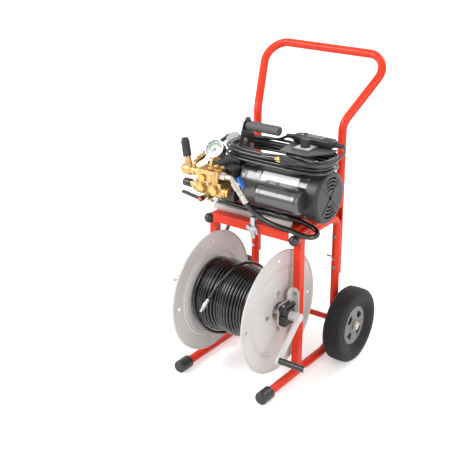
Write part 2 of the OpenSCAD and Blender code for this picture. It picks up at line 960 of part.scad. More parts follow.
core_steps = 24;
core_half = reel_face - seat_gap;
anchor_r = lay_r(wind_path[0][0]);
anchor_half_deg = 180 / wind_rings;
module hose_core() color("#1c1d1f") on_cart() {
    translate([0, reel_y, reel_z]) rotate([0, 90, 0]) rotate_extrude() polygon(concat(
        [[drum_r + seat_gap, core_half], [drum_r + seat_gap, -core_half]],
        [for (i = [0 : core_steps]) let (x = core_half * (2 * i / core_steps - 1))
            [lay_r(x) * cos(anchor_half_deg) - hose_r - 4 * air_gap, x]]
    ));
    translate([wind_path[0][0], reel_y, reel_z])
        rotate([wind_deg(wind_total - wind_steps / wind_rings) + anchor_half_deg, 0, 0])
            translate([
                -hose_r,
                -anchor_r * cos(anchor_half_deg) - hose_r,
                anchor_r * sin(anchor_half_deg) + hose_d
            ])
                cube([hose_d, 2 * hose_d, hose_d]);
}

module hose_tip() color("silver") on_cart() aim(tip_start, tip_start + wind_tail) {
    cylinder(h = tip_l, r = tip_r);
    translate([0, 0, tip_l / 2]) cylinder(h = tip_hex_h, r = tip_hex_r, $fn = 6);
    translate([0, 0, tip_l]) cylinder(h = tip_thread_l, r = tip_thread_r);
}

crank_way = [0, -cos(crank_deg), -sin(crank_deg)];
crank_face = crank_hub_x + crank_hub_l;
pin_at = [crank_face, reel_y, reel_z] + crank_r * crank_way;
pin_cap_x = crank_face + grip_l + 2 * air_gap;

module crank_arm() color("gainsboro") on_cart() difference() {
    union() {
        rod_x(crank_hub_x, crank_face + crank_boss, reel_y, reel_z, crank_hub_r);
        translate([crank_face - crank_t, reel_y, reel_z]) rotate([crank_deg, 0, 0]) rotate([0, 90, 0])
            linear_extrude(crank_t) {
                translate([-arm_w / 2, -crank_r]) square([arm_w, crank_r]);
                translate([0, -crank_r]) circle(arm_w / 2);
            }
        rod_x(crank_face - crank_t / 2, pin_cap_x + pin_cap_h / 2, pin_at[1], pin_at[2], pin_r);
        rod_x(pin_cap_x, pin_cap_x + pin_cap_h, pin_at[1], pin_at[2], pin_cap_r);
    }
    rod_x(crank_hub_x - overrun, shaft_right + seat_gap, reel_y, reel_z, shaft_r + seat_gap);
}

module crank_grip() color("#1a1a1c") on_cart() difference() {
    rod_x(crank_face + air_gap, crank_face + air_gap + grip_l, pin_at[1], pin_at[2], grip_d / 2);
    rod_x(crank_face, crank_face + grip_l + 2 * air_gap, pin_at[1], pin_at[2], pin_r + run_gap);
}

elbow_x = -feed_route[len(feed_route) - 1][0];

module reel_swivel() color("darkkhaki") on_cart() difference() {
    union() {
        rod_x(-swivel_x - swivel_l, -swivel_x, reel_y, reel_z, swivel_r);
        rod_x(-elbow_x, -swivel_x, reel_y, reel_z, elbow_r);
        translate([-elbow_x, reel_y, reel_z]) sphere(elbow_r);
        rod_y(reel_y, feed_route[len(feed_route) - 1][1] - seat_gap, -elbow_x, reel_z, nipple_r);
    }
    rod_x(-shaft_left - seat_gap, -swivel_x + overrun, reel_y, reel_z, shaft_r + run_gap);
}

// Wheels

module tyre_solid() translate([wheel_x, wheel_y, wheel_r]) rotate([0, 90, 0]) rotate_extrude($fn = 96)
difference() {
    union() {
        translate([hub_r, -wheel_w / 2 + tread_round]) square([wheel_r - hub_r, wheel_w - 2 * tread_round]);
        translate([hub_r, -wheel_w / 2]) square([wheel_r - hub_r - tread_round, wheel_w]);
        for (s = [-1, 1])
            translate([wheel_r - tread_round, s * (wheel_w / 2 - tread_round)]) circle(tread_round);
    }
    for (i = [0 : groove_count - 1])
        translate([wheel_r - groove_deep, (i - (groove_count - 1) / 2) * groove_step - groove_w / 2])
            square([groove_deep + overrun, groove_w]);
    for (s = [-1, 1])
        polygon([
            [hub_r - overrun, s * dish_half],
            [hub_r, s * dish_half],
            [dish_r, s * wheel_w / 2],
            [dish_r, s * (wheel_w / 2 + overrun)],
            [hub_r - overrun, s * (wheel_w / 2 + overrun)]
        ]);
}

module hub_solid() translate([wheel_x, wheel_y, wheel_r]) rotate([0, 90, 0]) difference() {
    rotate_extrude($fn = 96) {
        translate([hub_r - hub_rim, -hub_half]) square([hub_rim - seat_gap, 2 * hub_half]);
        for (z = [-hub_half, hub_half - hub_web])
            translate([hub_boss_r - hub_web, z])
                square([hub_r - hub_rim - hub_boss_r + 2 * hub_web, hub_web]);
        translate([axle_r + run_gap, -wheel_w / 2 + hub_recess / 2])
            square([hub_boss_r - axle_r - run_gap, hub_boss_half + wheel_w / 2 - hub_recess / 2]);
    }
    for (i = [0 : hub_openings - 1]) rotate([0, 0, 360 * (i + 1 / 2) / hub_openings])
        translate([0, 0, -hub_half - overrun]) linear_extrude(2 * (hub_half + overrun)) polygon([
            [opening_in, -opening_in_w / 2],
            [opening_out, -opening_out_w / 2],
            [opening_out, opening_out_w / 2],
            [opening_in, opening_in_w / 2]
        ]);
}

module right_tyre() color("#2a2b2d") on_cart() tyre_solid();
module left_tyre() color("#2a2b2d") on_cart() mirror([1, 0, 0]) tyre_solid();
module right_hub() color("darkgray") on_cart() hub_solid();
module left_hub() color("darkgray") on_cart() mirror([1, 0, 0]) hub_solid();

// Latch

latch_y = crossbar_y;
latch_z = tray_z - crossbar_h / 2 - latch_t;
base_front = tray_front + rail_gap;
lip_z = tray_z + base_rail_h;
wing_y = latch_y - latch_t - strap_t - 3 * air_gap;

module latch_base() color("silver") on_cart() {
    block(
        [latch_x - latch_w / 2, latch_y - latch_t, latch_z - latch_h / 2],
        [latch_x + latch_w / 2, latch_y, latch_z + latch_h / 2]
    );
    rod_y(wing_y - wing_t, latch_y - latch_t, latch_x, latch_z, latch_post_r);
}

module latch_wing() color("silver") on_cart() difference() {
    union() {
        rod_y(wing_y - wing_t, wing_y, latch_x, latch_z, latch_post_r * 2);
        for (s = [-1, 1]) {
            rod_y(
                wing_y - wing_t, wing_y,
                latch_x + s * (wing_r - wing_lobe_r), latch_z + wing_lobe_r, wing_lobe_r
            );
            block(
                [latch_x + (s < 0 ? -1 : 0) * (wing_r - wing_lobe_r), wing_y - wing_t, latch_z],
                [latch_x + (s < 0 ? 0 : 1) * (wing_r - wing_lobe_r), wing_y, latch_z + wing_lobe_r]
            );
        }
    }
    rod_y(wing_y - wing_t - overrun, wing_y + overrun, latch_x, latch_z, latch_post_r + run_gap);
}

module latch_hook() color("silver") on_cart() difference() {
    union() {
        block(
            [latch_x - strap_w / 2, latch_y - latch_t - strap_t - air_gap, latch_z - strap_tail],
            [latch_x + strap_w / 2, latch_y - latch_t - air_gap, lip_z + air_gap + strap_t]
        );
        block(
            [latch_x - strap_w / 2, latch_y - latch_t - strap_t - air_gap, lip_z + air_gap],
            [latch_x + strap_w / 2, base_front + lip_over, lip_z + air_gap + strap_t]
        );
    }
    block(
        [
            latch_x - latch_post_r - air_gap,
            latch_y - 2 * latch_h,
            latch_z - latch_post_r - latch_throw - air_gap
        ],
        [latch_x + latch_post_r + air_gap, latch_y - latch_t, latch_z + latch_post_r + air_gap]
    );
}

// Base and motor

module base_rails() color("silver") on_cart() for (i = [0, 1])
    block(
        [-base_left, base_front + i * base_span, tray_z],
        [base_right, base_front + i * base_span + base_rail_w, tray_z + base_rail_h]
    );

module motor_base() color("#232427") on_cart() {
    block(
        [-plate_left, base_front + base_rail_w + base_front_gap, base_z - base_t],
        [plate_right, base_front + base_span + base_rail_w, base_z]
    );
    difference() {
        for (s = [0, 1])
            block(
                [shell_left + saddle_t + s * saddle_in, motor_y - saddle_w / 2 + saddle_front_in, base_z],
                [shell_left + 2 * saddle_t + s * saddle_in, motor_y + saddle_w / 2, motor_z]
            );
        rod_x(-plate_left, plate_right, motor_y, motor_z, motor_r + seat_gap);
        block(
            [-plate_left, motor_y - motor_d, motor_z - motor_r / 2],
            [plate_right, motor_y + motor_d, motor_z + overrun]
        );
    }
}

module motor_shell() color("#2a2b2e") on_cart() difference() {
    rod_x(shell_left, shell_right, motor_y, motor_z, motor_r, $fn = 96);
    rod_x(shell_left - overrun, shell_right - shell_end, motor_y, motor_z, rotor_r + rotor_air);
    rod_x(shell_left, shell_right + overrun, motor_y, motor_z, motor_shaft_r + run_gap);
}

module drive_end_bell() color("#232427") on_cart() difference() {
    translate([shell_left, motor_y, motor_z]) rotate([0, -90, 0])
        rounded_end(motor_r - seat_gap, bell_l, bell_round);
    rod_x(bell_face - overrun, shell_left + overrun, motor_y, motor_z, motor_shaft_r + run_gap);
}

module fan_cover() color("#343538") on_cart() difference() {
    union() {
        translate([shell_right, motor_y, motor_z]) rotate([0, 90, 0])
            rounded_end(fan_cover_r, fan_cover_l, fan_cover_round, $fn = 96);
        for (a = [45, -45]) translate([motor_right, motor_y, motor_z]) rotate([a, 0, 0])
            block(
                [-fan_cover_wall / 2, -fan_cover_r + 2 * fan_cover_round, -rib_w / 2],
                [rib_h, fan_cover_r - 2 * fan_cover_round, rib_w / 2]
            );
    }
    translate([shell_right - overrun, motor_y, motor_z]) rotate([0, 90, 0])
        cylinder(h = fan_cover_l - fan_cover_wall + overrun, r = fan_cover_r - fan_cover_round);
    rod_x(shell_right, motor_right + 2 * overrun + rib_h, motor_y, motor_z, eye_r);
    for (side = [0, 180], i = [0 : slot_count - 1])
        translate([motor_right - 2 * fan_cover_wall, motor_y, motor_z])
            rotate([side, 0, 0]) rotate([90, 0, 90])
            rotate([0, 0, 90 - slot_deg / 2]) rotate_extrude(angle = slot_deg)
                translate([slot_first + i * slot_step, 0]) square([slot_w, 3 * fan_cover_wall]);
}

module rotor() color("#8a8d90") on_cart() {
    rod_x(bell_face - shaft_in, shell_right + fan_l / 2, motor_y, motor_z, motor_shaft_r);
    rod_x(shell_left + rotor_inset, shell_right - rotor_inset, motor_y, motor_z, rotor_r);
    translate([shell_right + fan_cover_wall, motor_y, motor_z]) {
        rotate([0, 90, 0]) cylinder(h = fan_l, r = fan_hub_r);
        for (i = [0 : fan_blades - 1]) rotate([360 * i / fan_blades, 0, 0])
            block(
                [fan_blade_t, fan_hub_r / 2, -fan_blade_t / 2],
                [fan_l - fan_blade_t, fan_r, fan_blade_t / 2]
            );
    }
}

module capacitor_cover() color("#26272a") on_cart() difference() {
    union() {
        translate([cap_cover_left, motor_y - cap_cover_out, motor_z + cap_cover_up]) rotate([0, 90, 0])
            rounded_end(cap_cover_r, cap_cover_l, cap_cover_round);
        block(
            [cap_cover_left, motor_y - cap_cover_out, motor_z + cap_cover_up - cap_cover_r],
            [
                cap_cover_left + cap_cover_l - cap_cover_round,
                motor_y - motor_r / 2,
                motor_z + cap_cover_up + cap_cover_r
            ]
        );
    }
    rod_x(shell_left, motor_right, motor_y, motor_z, motor_r + seat_gap);
    rod_x(shell_right - seat_gap, motor_right, motor_y, motor_z, fan_cover_r + air_gap);
}

// Pump

crankcase_top = motor_z + crankcase_high;
crankcase_left = bell_face - crankcase_l;

module crankcase() color("#1d1e20") on_cart() difference() {
    block(
        [crankcase_left, head_back, motor_z - crankcase_low],
        [bell_face, motor_y + crankcase_back, crankcase_top]
    );
    rod_x(bell_face - shaft_in - seat_gap, bell_face + overrun, motor_y, motor_z, motor_shaft_r + run_gap);
    for (i = [0 : fin_count - 1])
        block(
            [crankcase_left - overrun, head_back + fin_step * (i + 1), motor_z - crankcase_low - overrun],
            [crankcase_left + fin_deep, head_back + fin_step * (i + 1) + fin_w, crankcase_top + overrun]
        );
}

columns = [pump_mid - column_step / 2, pump_mid + column_step / 2];
upper_z = head_top - upper_boss_drop;
barrel_z = motor_z + barrel_rise;
gallery_y = head_front + gallery_back;
gallery_z = head_low + gallery_r;

module rounded_plan(low, high, r) {
    translate(low + [r, 0]) square(high - low - [2 * r, 0]);
    translate(low + [0, r]) square(high - low - [0, 2 * r]);
    for (x = [low[0] + r, high[0] - r], y = [low[1] + r, high[1] - r]) translate([x, y]) circle(r);
}

module pump_head() color("goldenrod") on_cart() {
    deck_low = head_top - top_flange;
    lower_top = head_low + lower_rise;
    translate([0, 0, deck_low]) linear_extrude(top_flange)
        rounded_plan([deck_left, head_front], [deck_right, head_back - deck_back], deck_round);
    block(
        [deck_left + top_lip, head_front + body_in, lower_top - body_in],
        [deck_right - top_lip, head_back - body_step, deck_low + body_in]
    );
    block(
        [head_left + lower_in, head_front, head_low + lower_lift],
        [head_right - lower_in, head_back, lower_top]
    );
    rod_z(
        lower_top - head_post_r, deck_low + body_in,
        columns[1] - head_post_side, head_front + head_post_back, head_post_r
    );
    rod_y(head_front - upper_boss_out, head_front + 2 * body_in, columns[0], upper_z, upper_boss_r);
    for (x = columns) rod_y(head_front - barrel_out, head_front, x, barrel_z, barrel_r);
    rod_x(head_left - gallery_out, head_right + gallery_out, gallery_y, gallery_z, gallery_r);
    block(
        [pulse_at[0] - pulse_boss / 2, head_front, pulse_at[2] - pulse_boss / 2],
        [pulse_at[0] + pulse_boss / 2, head_front + 2 * gallery_back, head_low + gallery_r]
    );
}

module hex_y(y0, y1, x, z, r) translate([x, y0, z]) rotate([-90, 0, 0])
    cylinder(h = y1 - y0, r = r, $fn = 6);

module head_plugs() color("gold") on_cart() {
    for (x = columns)
        hex_y(head_front - barrel_out - cap_hex_h, head_front - barrel_out, x, barrel_z, cap_hex_r);
    for (i = [-1 : 1])
        translate([pump_mid + i * top_plug_step, head_back - top_plug_back, head_top])
            cylinder(h = top_plug_h, r = top_plug_r, $fn = 6);
    rod_x(head_right + gallery_out, head_right + gallery_out + end_plug_h, gallery_y, gallery_z, end_plug_r);
}

module pump_guard() color("#151618") on_cart() {
    low = [pump_mid - guard_left, head_back + guard_front, crankcase_top];
    difference() {
        block(low + [0, 0, guard_lift], low + [guard_w, guard_back, guard_lift + guard_t]);
        for (x = [guard_hole_step : guard_hole_step : guard_w - guard_hole_r - guard_t],
             y = [guard_hole_step : guard_hole_step : guard_back - guard_hole_r - guard_t])
            rod_z(low[2], low[2] + guard_lift + guard_t + overrun, low[0] + x, low[1] + y, guard_hole_r);
    }
    for (x = [0, guard_w - guard_t], y = [0, guard_back - guard_leg])
        block(low + [x, y, 0], low + [x + guard_t, y + guard_leg, guard_lift]);
}

tee_x = head_left - tee_in;

module lean_stem() translate([tee_x, reg_y, reg_z + tee_side / 2]) rotate([0, -stem_lean, 0]) children();

module pressure_regulator() color("goldenrod") on_cart() {
    rod_x(head_left - reg_l, deck_left, reg_y, reg_z, reg_r);
    translate([tee_x, reg_y, reg_z]) cube(tee_side, center = true);
    lean_stem() {
        translate([0, 0, -tee_side / 2]) cylinder(h = tee_side / 2 + stem_h, r = stem_r);
        translate([0, 0, stem_h]) cylinder(h = spindle_h, r = spindle_r);
    }
}

module regulator_knob() color("#1b1c1e") on_cart() lean_stem() translate([0, 0, stem_h + air_gap])
difference() {
    union() {
        rounded_end(reg_knob_d / 2, reg_knob_h, spindle_r);
        for (i = [0 : knob_ribs - 1]) rotate([0, 0, 360 * i / knob_ribs]) translate([reg_knob_d / 2, 0, 0])
            cylinder(h = reg_knob_h - 2 * spindle_r, r = knob_rib_r);
    }
    translate([0, 0, -overrun]) cylinder(h = spindle_h + overrun, r = spindle_r + run_gap);
}

chamber_z = motor_z - chamber_drop;

module pulse_chamber() color("#1b1c1e") on_cart()
    translate([head_left - chamber_neck_l, reg_y, chamber_z]) rotate([0, -90, 0])
        rounded_end(chamber_r, chamber_l, spindle_r);

gauge_at = [pump_mid - gauge_side, head_front + gauge_back, motor_z + gauge_rise];
gauge_out = [sin(gauge_tilt) * cos(gauge_turn), sin(gauge_tilt) * sin(gauge_turn), cos(gauge_tilt)];
gauge_down = [cos(gauge_tilt) * cos(gauge_turn), cos(gauge_tilt) * sin(gauge_turn), -sin(gauge_tilt)];
module at_gauge() translate(gauge_at) rotate([0, gauge_tilt, gauge_turn]) children();

stem_top = gauge_at - gauge_out * gauge_depth / 2 + gauge_down * gauge_r;
stem_corner = stem_top + gauge_down * gauge_stem_l;
stem_foot = [stem_corner[0], stem_corner[1], head_top];
outlet_x = head_left - outlet_in;
outlet_path = [[outlet_x, reg_y, reg_z], [outlet_x, reg_y, reg_z + outlet_up], feed_route[0]];

outlet_nut = feed_route[0] + unit(outlet_path[1] - feed_route[0]) * collar_h;

module brass_fittings() color("goldenrod") on_cart() {
    difference() {
        union() {
            bent_bar(
                [stem_foot, stem_corner, stem_top - gauge_down * gauge_rim],
                [gauge_stem_bend], gauge_stem_r
            );
            translate(stem_foot) cylinder(h = collar_h, r = collar_r, $fn = 6);
        }
        at_gauge() translate([0, 0, -gauge_depth]) cylinder(h = gauge_depth, r = gauge_r + seat_gap);
    }
    difference() {
        union() {
            bent_bar(outlet_path, [outlet_bend], outlet_r);
            aim(outlet_nut, outlet_path[1]) cylinder(h = 2 * collar_h, r = collar_r, $fn = 6);
        }
        rod_x(head_left - reg_l, deck_left, reg_y, reg_z, reg_r + seat_gap);
        translate([tee_x, reg_y, reg_z]) cube(tee_side + 2 * seat_gap, center = true);
    }
    rod_x(head_left - chamber_neck_l, head_left - gallery_out, reg_y, chamber_z, chamber_neck_r);
}

module gauge_case() color("lightgray") on_cart() at_gauge() difference() {
    translate([0, 0, -gauge_depth]) cylinder(h = gauge_depth, r = gauge_r);
    translate([0, 0, -gauge_well]) cylinder(h = gauge_well + overrun, r = gauge_r - gauge_rim);
    translate([0, 0, -gauge_well - gauge_rim]) cylinder(h = gauge_well, r = needle_pin_r + run_gap);
}

module gauge_lens() color([0.9, 0.95, 1, 0.4]) on_cart() at_gauge()
    translate([0, 0, -gauge_rim]) cylinder(h = lens_t, r = gauge_r - gauge_rim - seat_gap);

module gauge_needle() color("black") on_cart() at_gauge() translate([0, 0, -gauge_well]) {
    translate([0, 0, -gauge_rim + air_gap]) cylinder(h = gauge_rim + needle_lift, r = needle_pin_r);
    translate([0, 0, air_gap]) cylinder(h = needle_lift, r = needle_hub_r);
    rotate([0, 0, -45]) translate([0, -needle_w / 2, needle_lift - needle_t])
        cube([needle_l, needle_w, needle_t]);
}

inlet_y = head_front + inlet_back;
inlet_z = motor_z + inlet_rise;
valve_elbow = [head_right + inlet_reach, inlet_y, inlet_z];
valve_way = unit(water_route[0] - valve_elbow);
valve_len = norm(water_route[0] - valve_elbow);
bonnet_way = [-valve_way[2], 0, valve_way[0]];
valve_mid = valve_elbow + valve_way * (valve_from + valve_l / 2);
lever_foot = valve_mid + bonnet_way * bonnet_h;

module inlet_valve() color("silver") on_cart() {
    translate([deck_right, inlet_y, inlet_z]) rotate([0, 90, 0])
        cylinder(h = inlet_nut_l, r = inlet_nut_r, $fn = 6);
    bent_bar(
        [[deck_right, inlet_y, inlet_z], valve_elbow, water_route[0]],
        [inlet_bend], inlet_pipe_r
    );
    rod(valve_elbow + valve_way * valve_from, valve_elbow + valve_way * (valve_from + valve_l), valve_r);
    rod(water_route[0] - valve_way * barb_l, water_route[0], barb_r);
    rod(valve_mid, lever_foot, bonnet_r);
    rod(lever_foot, lever_foot + bonnet_way * lever_t, bonnet_r / 2);
}

module valve_lever() color("royalblue") on_cart()
    aim(lever_foot + bonnet_way * air_gap, lever_foot + 2 * bonnet_way)
    difference() {
        union() {
            cylinder(h = lever_t, r = lever_hub_r);
            translate([-lever_l / 2, -lever_w / 2, 0]) cube([lever_l, lever_w, lever_t]);
        }
        translate([0, 0, -overrun]) cylinder(h = lever_t + 2 * overrun, r = bonnet_r / 2 + run_gap);
    }

pulse_at = [pump_mid - pulse_side, head_front - pulse_out, motor_z - pulse_drop];
pulse_front = pulse_at[1] - pulse_hub_h;

module pulse_lever() color("#1b1c1e") on_cart() difference() {
    union() {
        rod_y(pulse_front, pulse_at[1] - air_gap, pulse_at[0], pulse_at[2], pulse_hub_r);
        translate([pulse_at[0], pulse_front, pulse_at[2]]) rotate([0, pulse_deg, 0]) {
            block([-pulse_l, 0, -pulse_w / 2], [0, pulse_t, pulse_w / 2]);
            rod_y(0, pulse_t, -pulse_l, 0, pulse_w / 2);
        }
    }
    rod_y(pulse_front - overrun, pulse_front + button_h, pulse_at[0], pulse_at[2], button_r + run_gap);
    rod_y(pulse_front, pulse_at[1] + overrun, pulse_at[0], pulse_at[2], pulse_post_r / 2 + run_gap);
}

module pulse_button() color("orangered") on_cart()
    rod_y(pulse_front - button_proud, pulse_front + button_h - button_travel - air_gap,
        pulse_at[0], pulse_at[2], button_r);

// Inlet hose and feed hose

module inlet_hose() color("#1a1b1d") on_cart() cord(water_route, water_r, 10);
module feed_hose() color("#1a1b1d") on_cart() cord(feed_route, feed_r, 10);

water_end = water_route[len(water_route) - 1];
ferrule_end = water_end - [ferrule_l, 0, 0];

module inlet_hose_end() color("silver") on_cart() difference() {
    union() {
        rod_x(ferrule_end[0], water_end[0], water_end[1], water_end[2], ferrule_r);
        rod_x(ferrule_end[0] - coupling_l, ferrule_end[0], water_end[1], water_end[2], coupling_r);
    }
    rod_x(
        ferrule_end[0] - coupling_l - overrun, ferrule_end[0] - coupling_l + coupling_deep,
        water_end[1], water_end[2], coupling_bore
    );
}

// Carry handle

carry_z = motor_z + carry_rise;
bracket_x = bell_face - bracket_in;

module carry_bracket() color("#161719") on_cart() {
    translate([bracket_x - bracket_t, motor_y, crankcase_top]) rotate([90, 0, 90]) linear_extrude(bracket_t)
        polygon([
            [-bracket_w / 2, 0],
            [bracket_w / 2, 0],
            [bracket_w / 2, bracket_shoulder],
            [bracket_top_w / 2, carry_z - crankcase_top + carry_d / 2],
            [-bracket_top_w / 2, carry_z - crankcase_top + carry_d / 2],
            [-bracket_w / 2, bracket_shoulder]
        ]);
    block(
        [bracket_x - bracket_foot, motor_y - bracket_foot_w / 2, crankcase_top],
        [bracket_x, motor_y + bracket_foot_w / 2, crankcase_top + bracket_t]
    );
}

module carry_grip() color("#2e2f31") on_cart() translate([bracket_x, motor_y, carry_z]) rotate([0, 90, 0])
    rounded_end(carry_d / 2, carry_l, carry_round);

// Switch

plate_z = motor_z + plate_rise;
box_y = motor_y - box_ahead;
wrap_top = plate_z + wrap_t;

module switch_box() color("#202124") on_cart() {
    difference() {
        block([box_left, box_y, motor_z], [box_left + box_w, box_y + box_depth, plate_z]);
        rod_x(shell_left, motor_right, motor_y, motor_z, motor_r + seat_gap);
    }
    rod_x(coil_in[0][0], box_left, coil_in[0][1], coil_in[0][2], gland_r);
}

module switch_plate() color("#3a3b3f") on_cart() difference() {
    union() {
        translate([0, 0, plate_z]) linear_extrude(wrap_t) {
            polygon([
                [wrap_nose, motor_y - wrap_front],
                [wrap_corner, motor_y - wrap_front],
                [wrap_right - wrap_t, motor_y + wrap_front / 2],
                [wrap_right, motor_y + wrap_back],
                [wrap_left, motor_y + wrap_back - 2 * wrap_t]
            ]);
            intersection() {
                translate([wrap_corner - wrap_back / 2, motor_y + wrap_back / 2])
                    circle(wrap_front + wrap_back / 2);
                translate([wrap_corner - wrap_back, motor_y - wrap_front]) square(wrap_front + wrap_back);
            }
        }
        translate([switch_x - escutcheon / 2, motor_y + switch_back - escutcheon / 2, wrap_top])
            cube([escutcheon, escutcheon, escutcheon_h]);
        translate([switch_x, motor_y + switch_back, wrap_top + escutcheon_h])
            cylinder(h = switch_h / 2, r = switch_post_r);
    }
}

module switch_knob() color("#17181a") on_cart()
    translate([switch_x, motor_y + switch_back, wrap_top + escutcheon_h + air_gap])
    difference() {
        union() {
            cylinder(h = switch_collar_h, r = switch_d / 2);
            translate([-switch_d / 2, -switch_bar_w / 2, 0]) cube([switch_d, switch_bar_w, switch_h]);
            cylinder(h = switch_h - switch_collar_h, r = switch_bar_w);
        }
        translate([0, 0, -overrun]) cylinder(h = switch_h / 2 + overrun, r = switch_post_r + run_gap);
    }

// Power cord, wound in an oval round the bracket and the switch box

function signed_power(v, e) = sign(v) * pow(abs(v), e);
function coil_inset(t) = coil_pitch * (2 - abs((t % 4) - 2));
function coil_climb(t) = coil_layer
    * (clamp01((t - 1.75) * 2) + clamp01((t - 3.75) * 2) + clamp01((t - 5.75) * 2));
function plug_push(x, climb, front) = front
    ? plug_room * clamp01(climb / coil_layer - 1) * hump(x, plug_room_x, plug_room_half)
    : 0;
function coil_point(t) = let (
    a = coil_start_deg - 360 * t,
    inset = 2 * coil_pitch - coil_inset(t),
    climb = coil_climb(t),
    x = coil_mid[0] + (coil_half[0] - inset) * signed_power(cos(a), coil_round_share),
    y = coil_mid[1] + (coil_half[1] - inset) * signed_power(sin(a), coil_round_share)
) [x, y + plug_push(x, climb, sin(a) < 0), coil_low + climb];
coil_steps = floor(coil_turns * coil_rings);
coil_path = concat(coil_in, [for (i = [0 : coil_steps]) coil_point(i / coil_rings)], coil_out);

module power_cord() {
    echo(power_cord_gap = self_gap(coil_path, cord_r, 8, 60));
    color("#1b1c1e") on_cart() cord(coil_path, cord_r, 6);
}

fault_left = coil_out[len(coil_out) - 1];
fault_right = lead_route[0];

module ground_fault_box() color("#141517") on_cart()
    block(
        [fault_left[0], fault_left[1] - fault_w / 2, wrap_top + air_gap],
        [fault_right[0], fault_left[1] + fault_w / 2, wrap_top + air_gap + fault_h]
    );

module plug_lead() color("#1b1c1e") on_cart() cord(lead_route, cord_r, 8);

plug_back = lead_route[len(lead_route) - 1];

module plug() color("#141517") on_cart() {
    block(
        plug_back + [-plug_l, -plug_w / 2, -plug_h / 2],
        plug_back + [0, plug_w / 2, plug_h / 2]
    );
    for (s = [-1, 1])
        block(
            plug_back + [-plug_l - blade_l, s * blade_step / 2 - blade_t / 2, 0],
            plug_back + [-plug_l, s * blade_step / 2 + blade_t / 2, blade_w]
        );
    rod_x(
        plug_back[0] - plug_l - blade_l, plug_back[0] - plug_l,
        plug_back[1], plug_back[2] - blade_w, earth_r
    );
}

// Bolts, nuts, screws and the hook on the right upright

hook_r = 3;
hook_z = 340;
hook_out = 14;
hook_up = 16;
hook_tip = 18;
hook_bend = 6;
hook_y = rear_y - tube_r;
washer_x = wheel_x + hub_boss_half + air_gap;
head_screw_step = 45.6;
// Bolts of the carry handle, as shares of the bracket's width and rise
carry_bolt_shares = [[-0.2, 0.62], [0.25, 0.42], [-0.15, 0.25]];

module zinc_hardware() color("silver") on_cart() {
    both_sides() arm_bolt_places() {
        rod_y(rear_y - tube_r - bolt_head_h, arm_y + tube_r + bolt_head_h, 0, 0, bolt_r);
        rod_y(arm_y + tube_r, arm_y + tube_r + bolt_head_h, 0, 0, bolt_head_r);
        hex_y(rear_y - tube_r - bolt_head_h, rear_y - tube_r, 0, 0, bolt_head_r);
    }
    both_sides() bracket_bolt_places() {
        rod_y(post_front - reel_plate - small_head_h, post_front + 2 * post_wall, 0, 0, small_bolt_r);
        hex_y(post_front - reel_plate - small_head_h, post_front - reel_plate, 0, 0, small_head_r);
    }
    both_sides() difference() {
        union() {
            rod_x(washer_x, washer_x + washer_h, wheel_y, wheel_r, washer_r);
            translate([washer_x + washer_h, wheel_y, wheel_r]) rotate([0, 90, 0])
                cylinder(h = nut_h, r = nut_r);
        }
        rod_x(wheel_x, wheel_x + wheel_w, wheel_y, wheel_r, axle_r + seat_gap);
    }
    both_sides() difference() {
        rod_x(
            side_x + tube_r + air_gap, wheel_x - wheel_w / 2 + hub_recess / 2 - air_gap,
            wheel_y, wheel_r, spacer_r
        );
        rod_x(side_x, wheel_x, wheel_y, wheel_r, axle_r + seat_gap);
    }
    for (i = [-1 : 1])
        rod_y(
            head_front - screw_h, head_front,
            pump_mid + i * head_screw_step, (upper_z + barrel_z) / 2, screw_r
        );
    for (p = carry_bolt_shares)
        rod_x(bracket_x, bracket_x + carry_bolt_h, motor_y + p[0] * bracket_w,
            crankcase_top + p[1] * (carry_z - crankcase_top), carry_bolt_r);
    rod_y(head_front - pulse_out, head_front, pulse_at[0], pulse_at[2], pulse_post_r);
    rod_y(pulse_front + button_h + air_gap, pulse_at[1], pulse_at[0], pulse_at[2], pulse_post_r / 2);
    difference() {
        bent_bar([
            [side_x, hook_y, hook_z],
            [side_x, hook_y - hook_out, hook_z],
            [side_x, hook_y - hook_out, hook_z + hook_up],
            [side_x - hook_tip, hook_y - hook_out, hook_z + hook_up]
        ], [hook_bend, hook_bend], hook_r);
        side_tube(tube_r + seat_gap);
    }
}

side_frames();
push_handle();
frame_struts();
front_crossbar();
platform_tray();
axle();
tube_caps();
reel_brackets();
bearing_blocks();
zinc_hardware();
latch_base();
base_rails();
motor_base();
motor_shell();
drive_end_bell();
fan_cover();
capacitor_cover();
pump_guard();
crankcase();
pump_head();
head_plugs();
pressure_regulator();
pulse_chamber();
brass_fittings();
gauge_case();
gauge_lens();
inlet_valve();
inlet_hose();
inlet_hose_end();
feed_hose();
reel_swivel();
carry_bracket();
carry_grip();
switch_box();
switch_plate();
power_cord();
ground_fault_box();
plug_lead();
plug();
reel_flanges();
reel_drum();
flange_bolts();
hose_core();
hose_winding();
hose_tip();
crank_arm();
crank_grip();
left_tyre();
left_hub();
right_tyre();
right_hub();
rotor();
latch_wing();
latch_hook();
valve_lever();
regulator_knob();
pulse_lever();
pulse_button();
switch_knob();
gauge_needle();
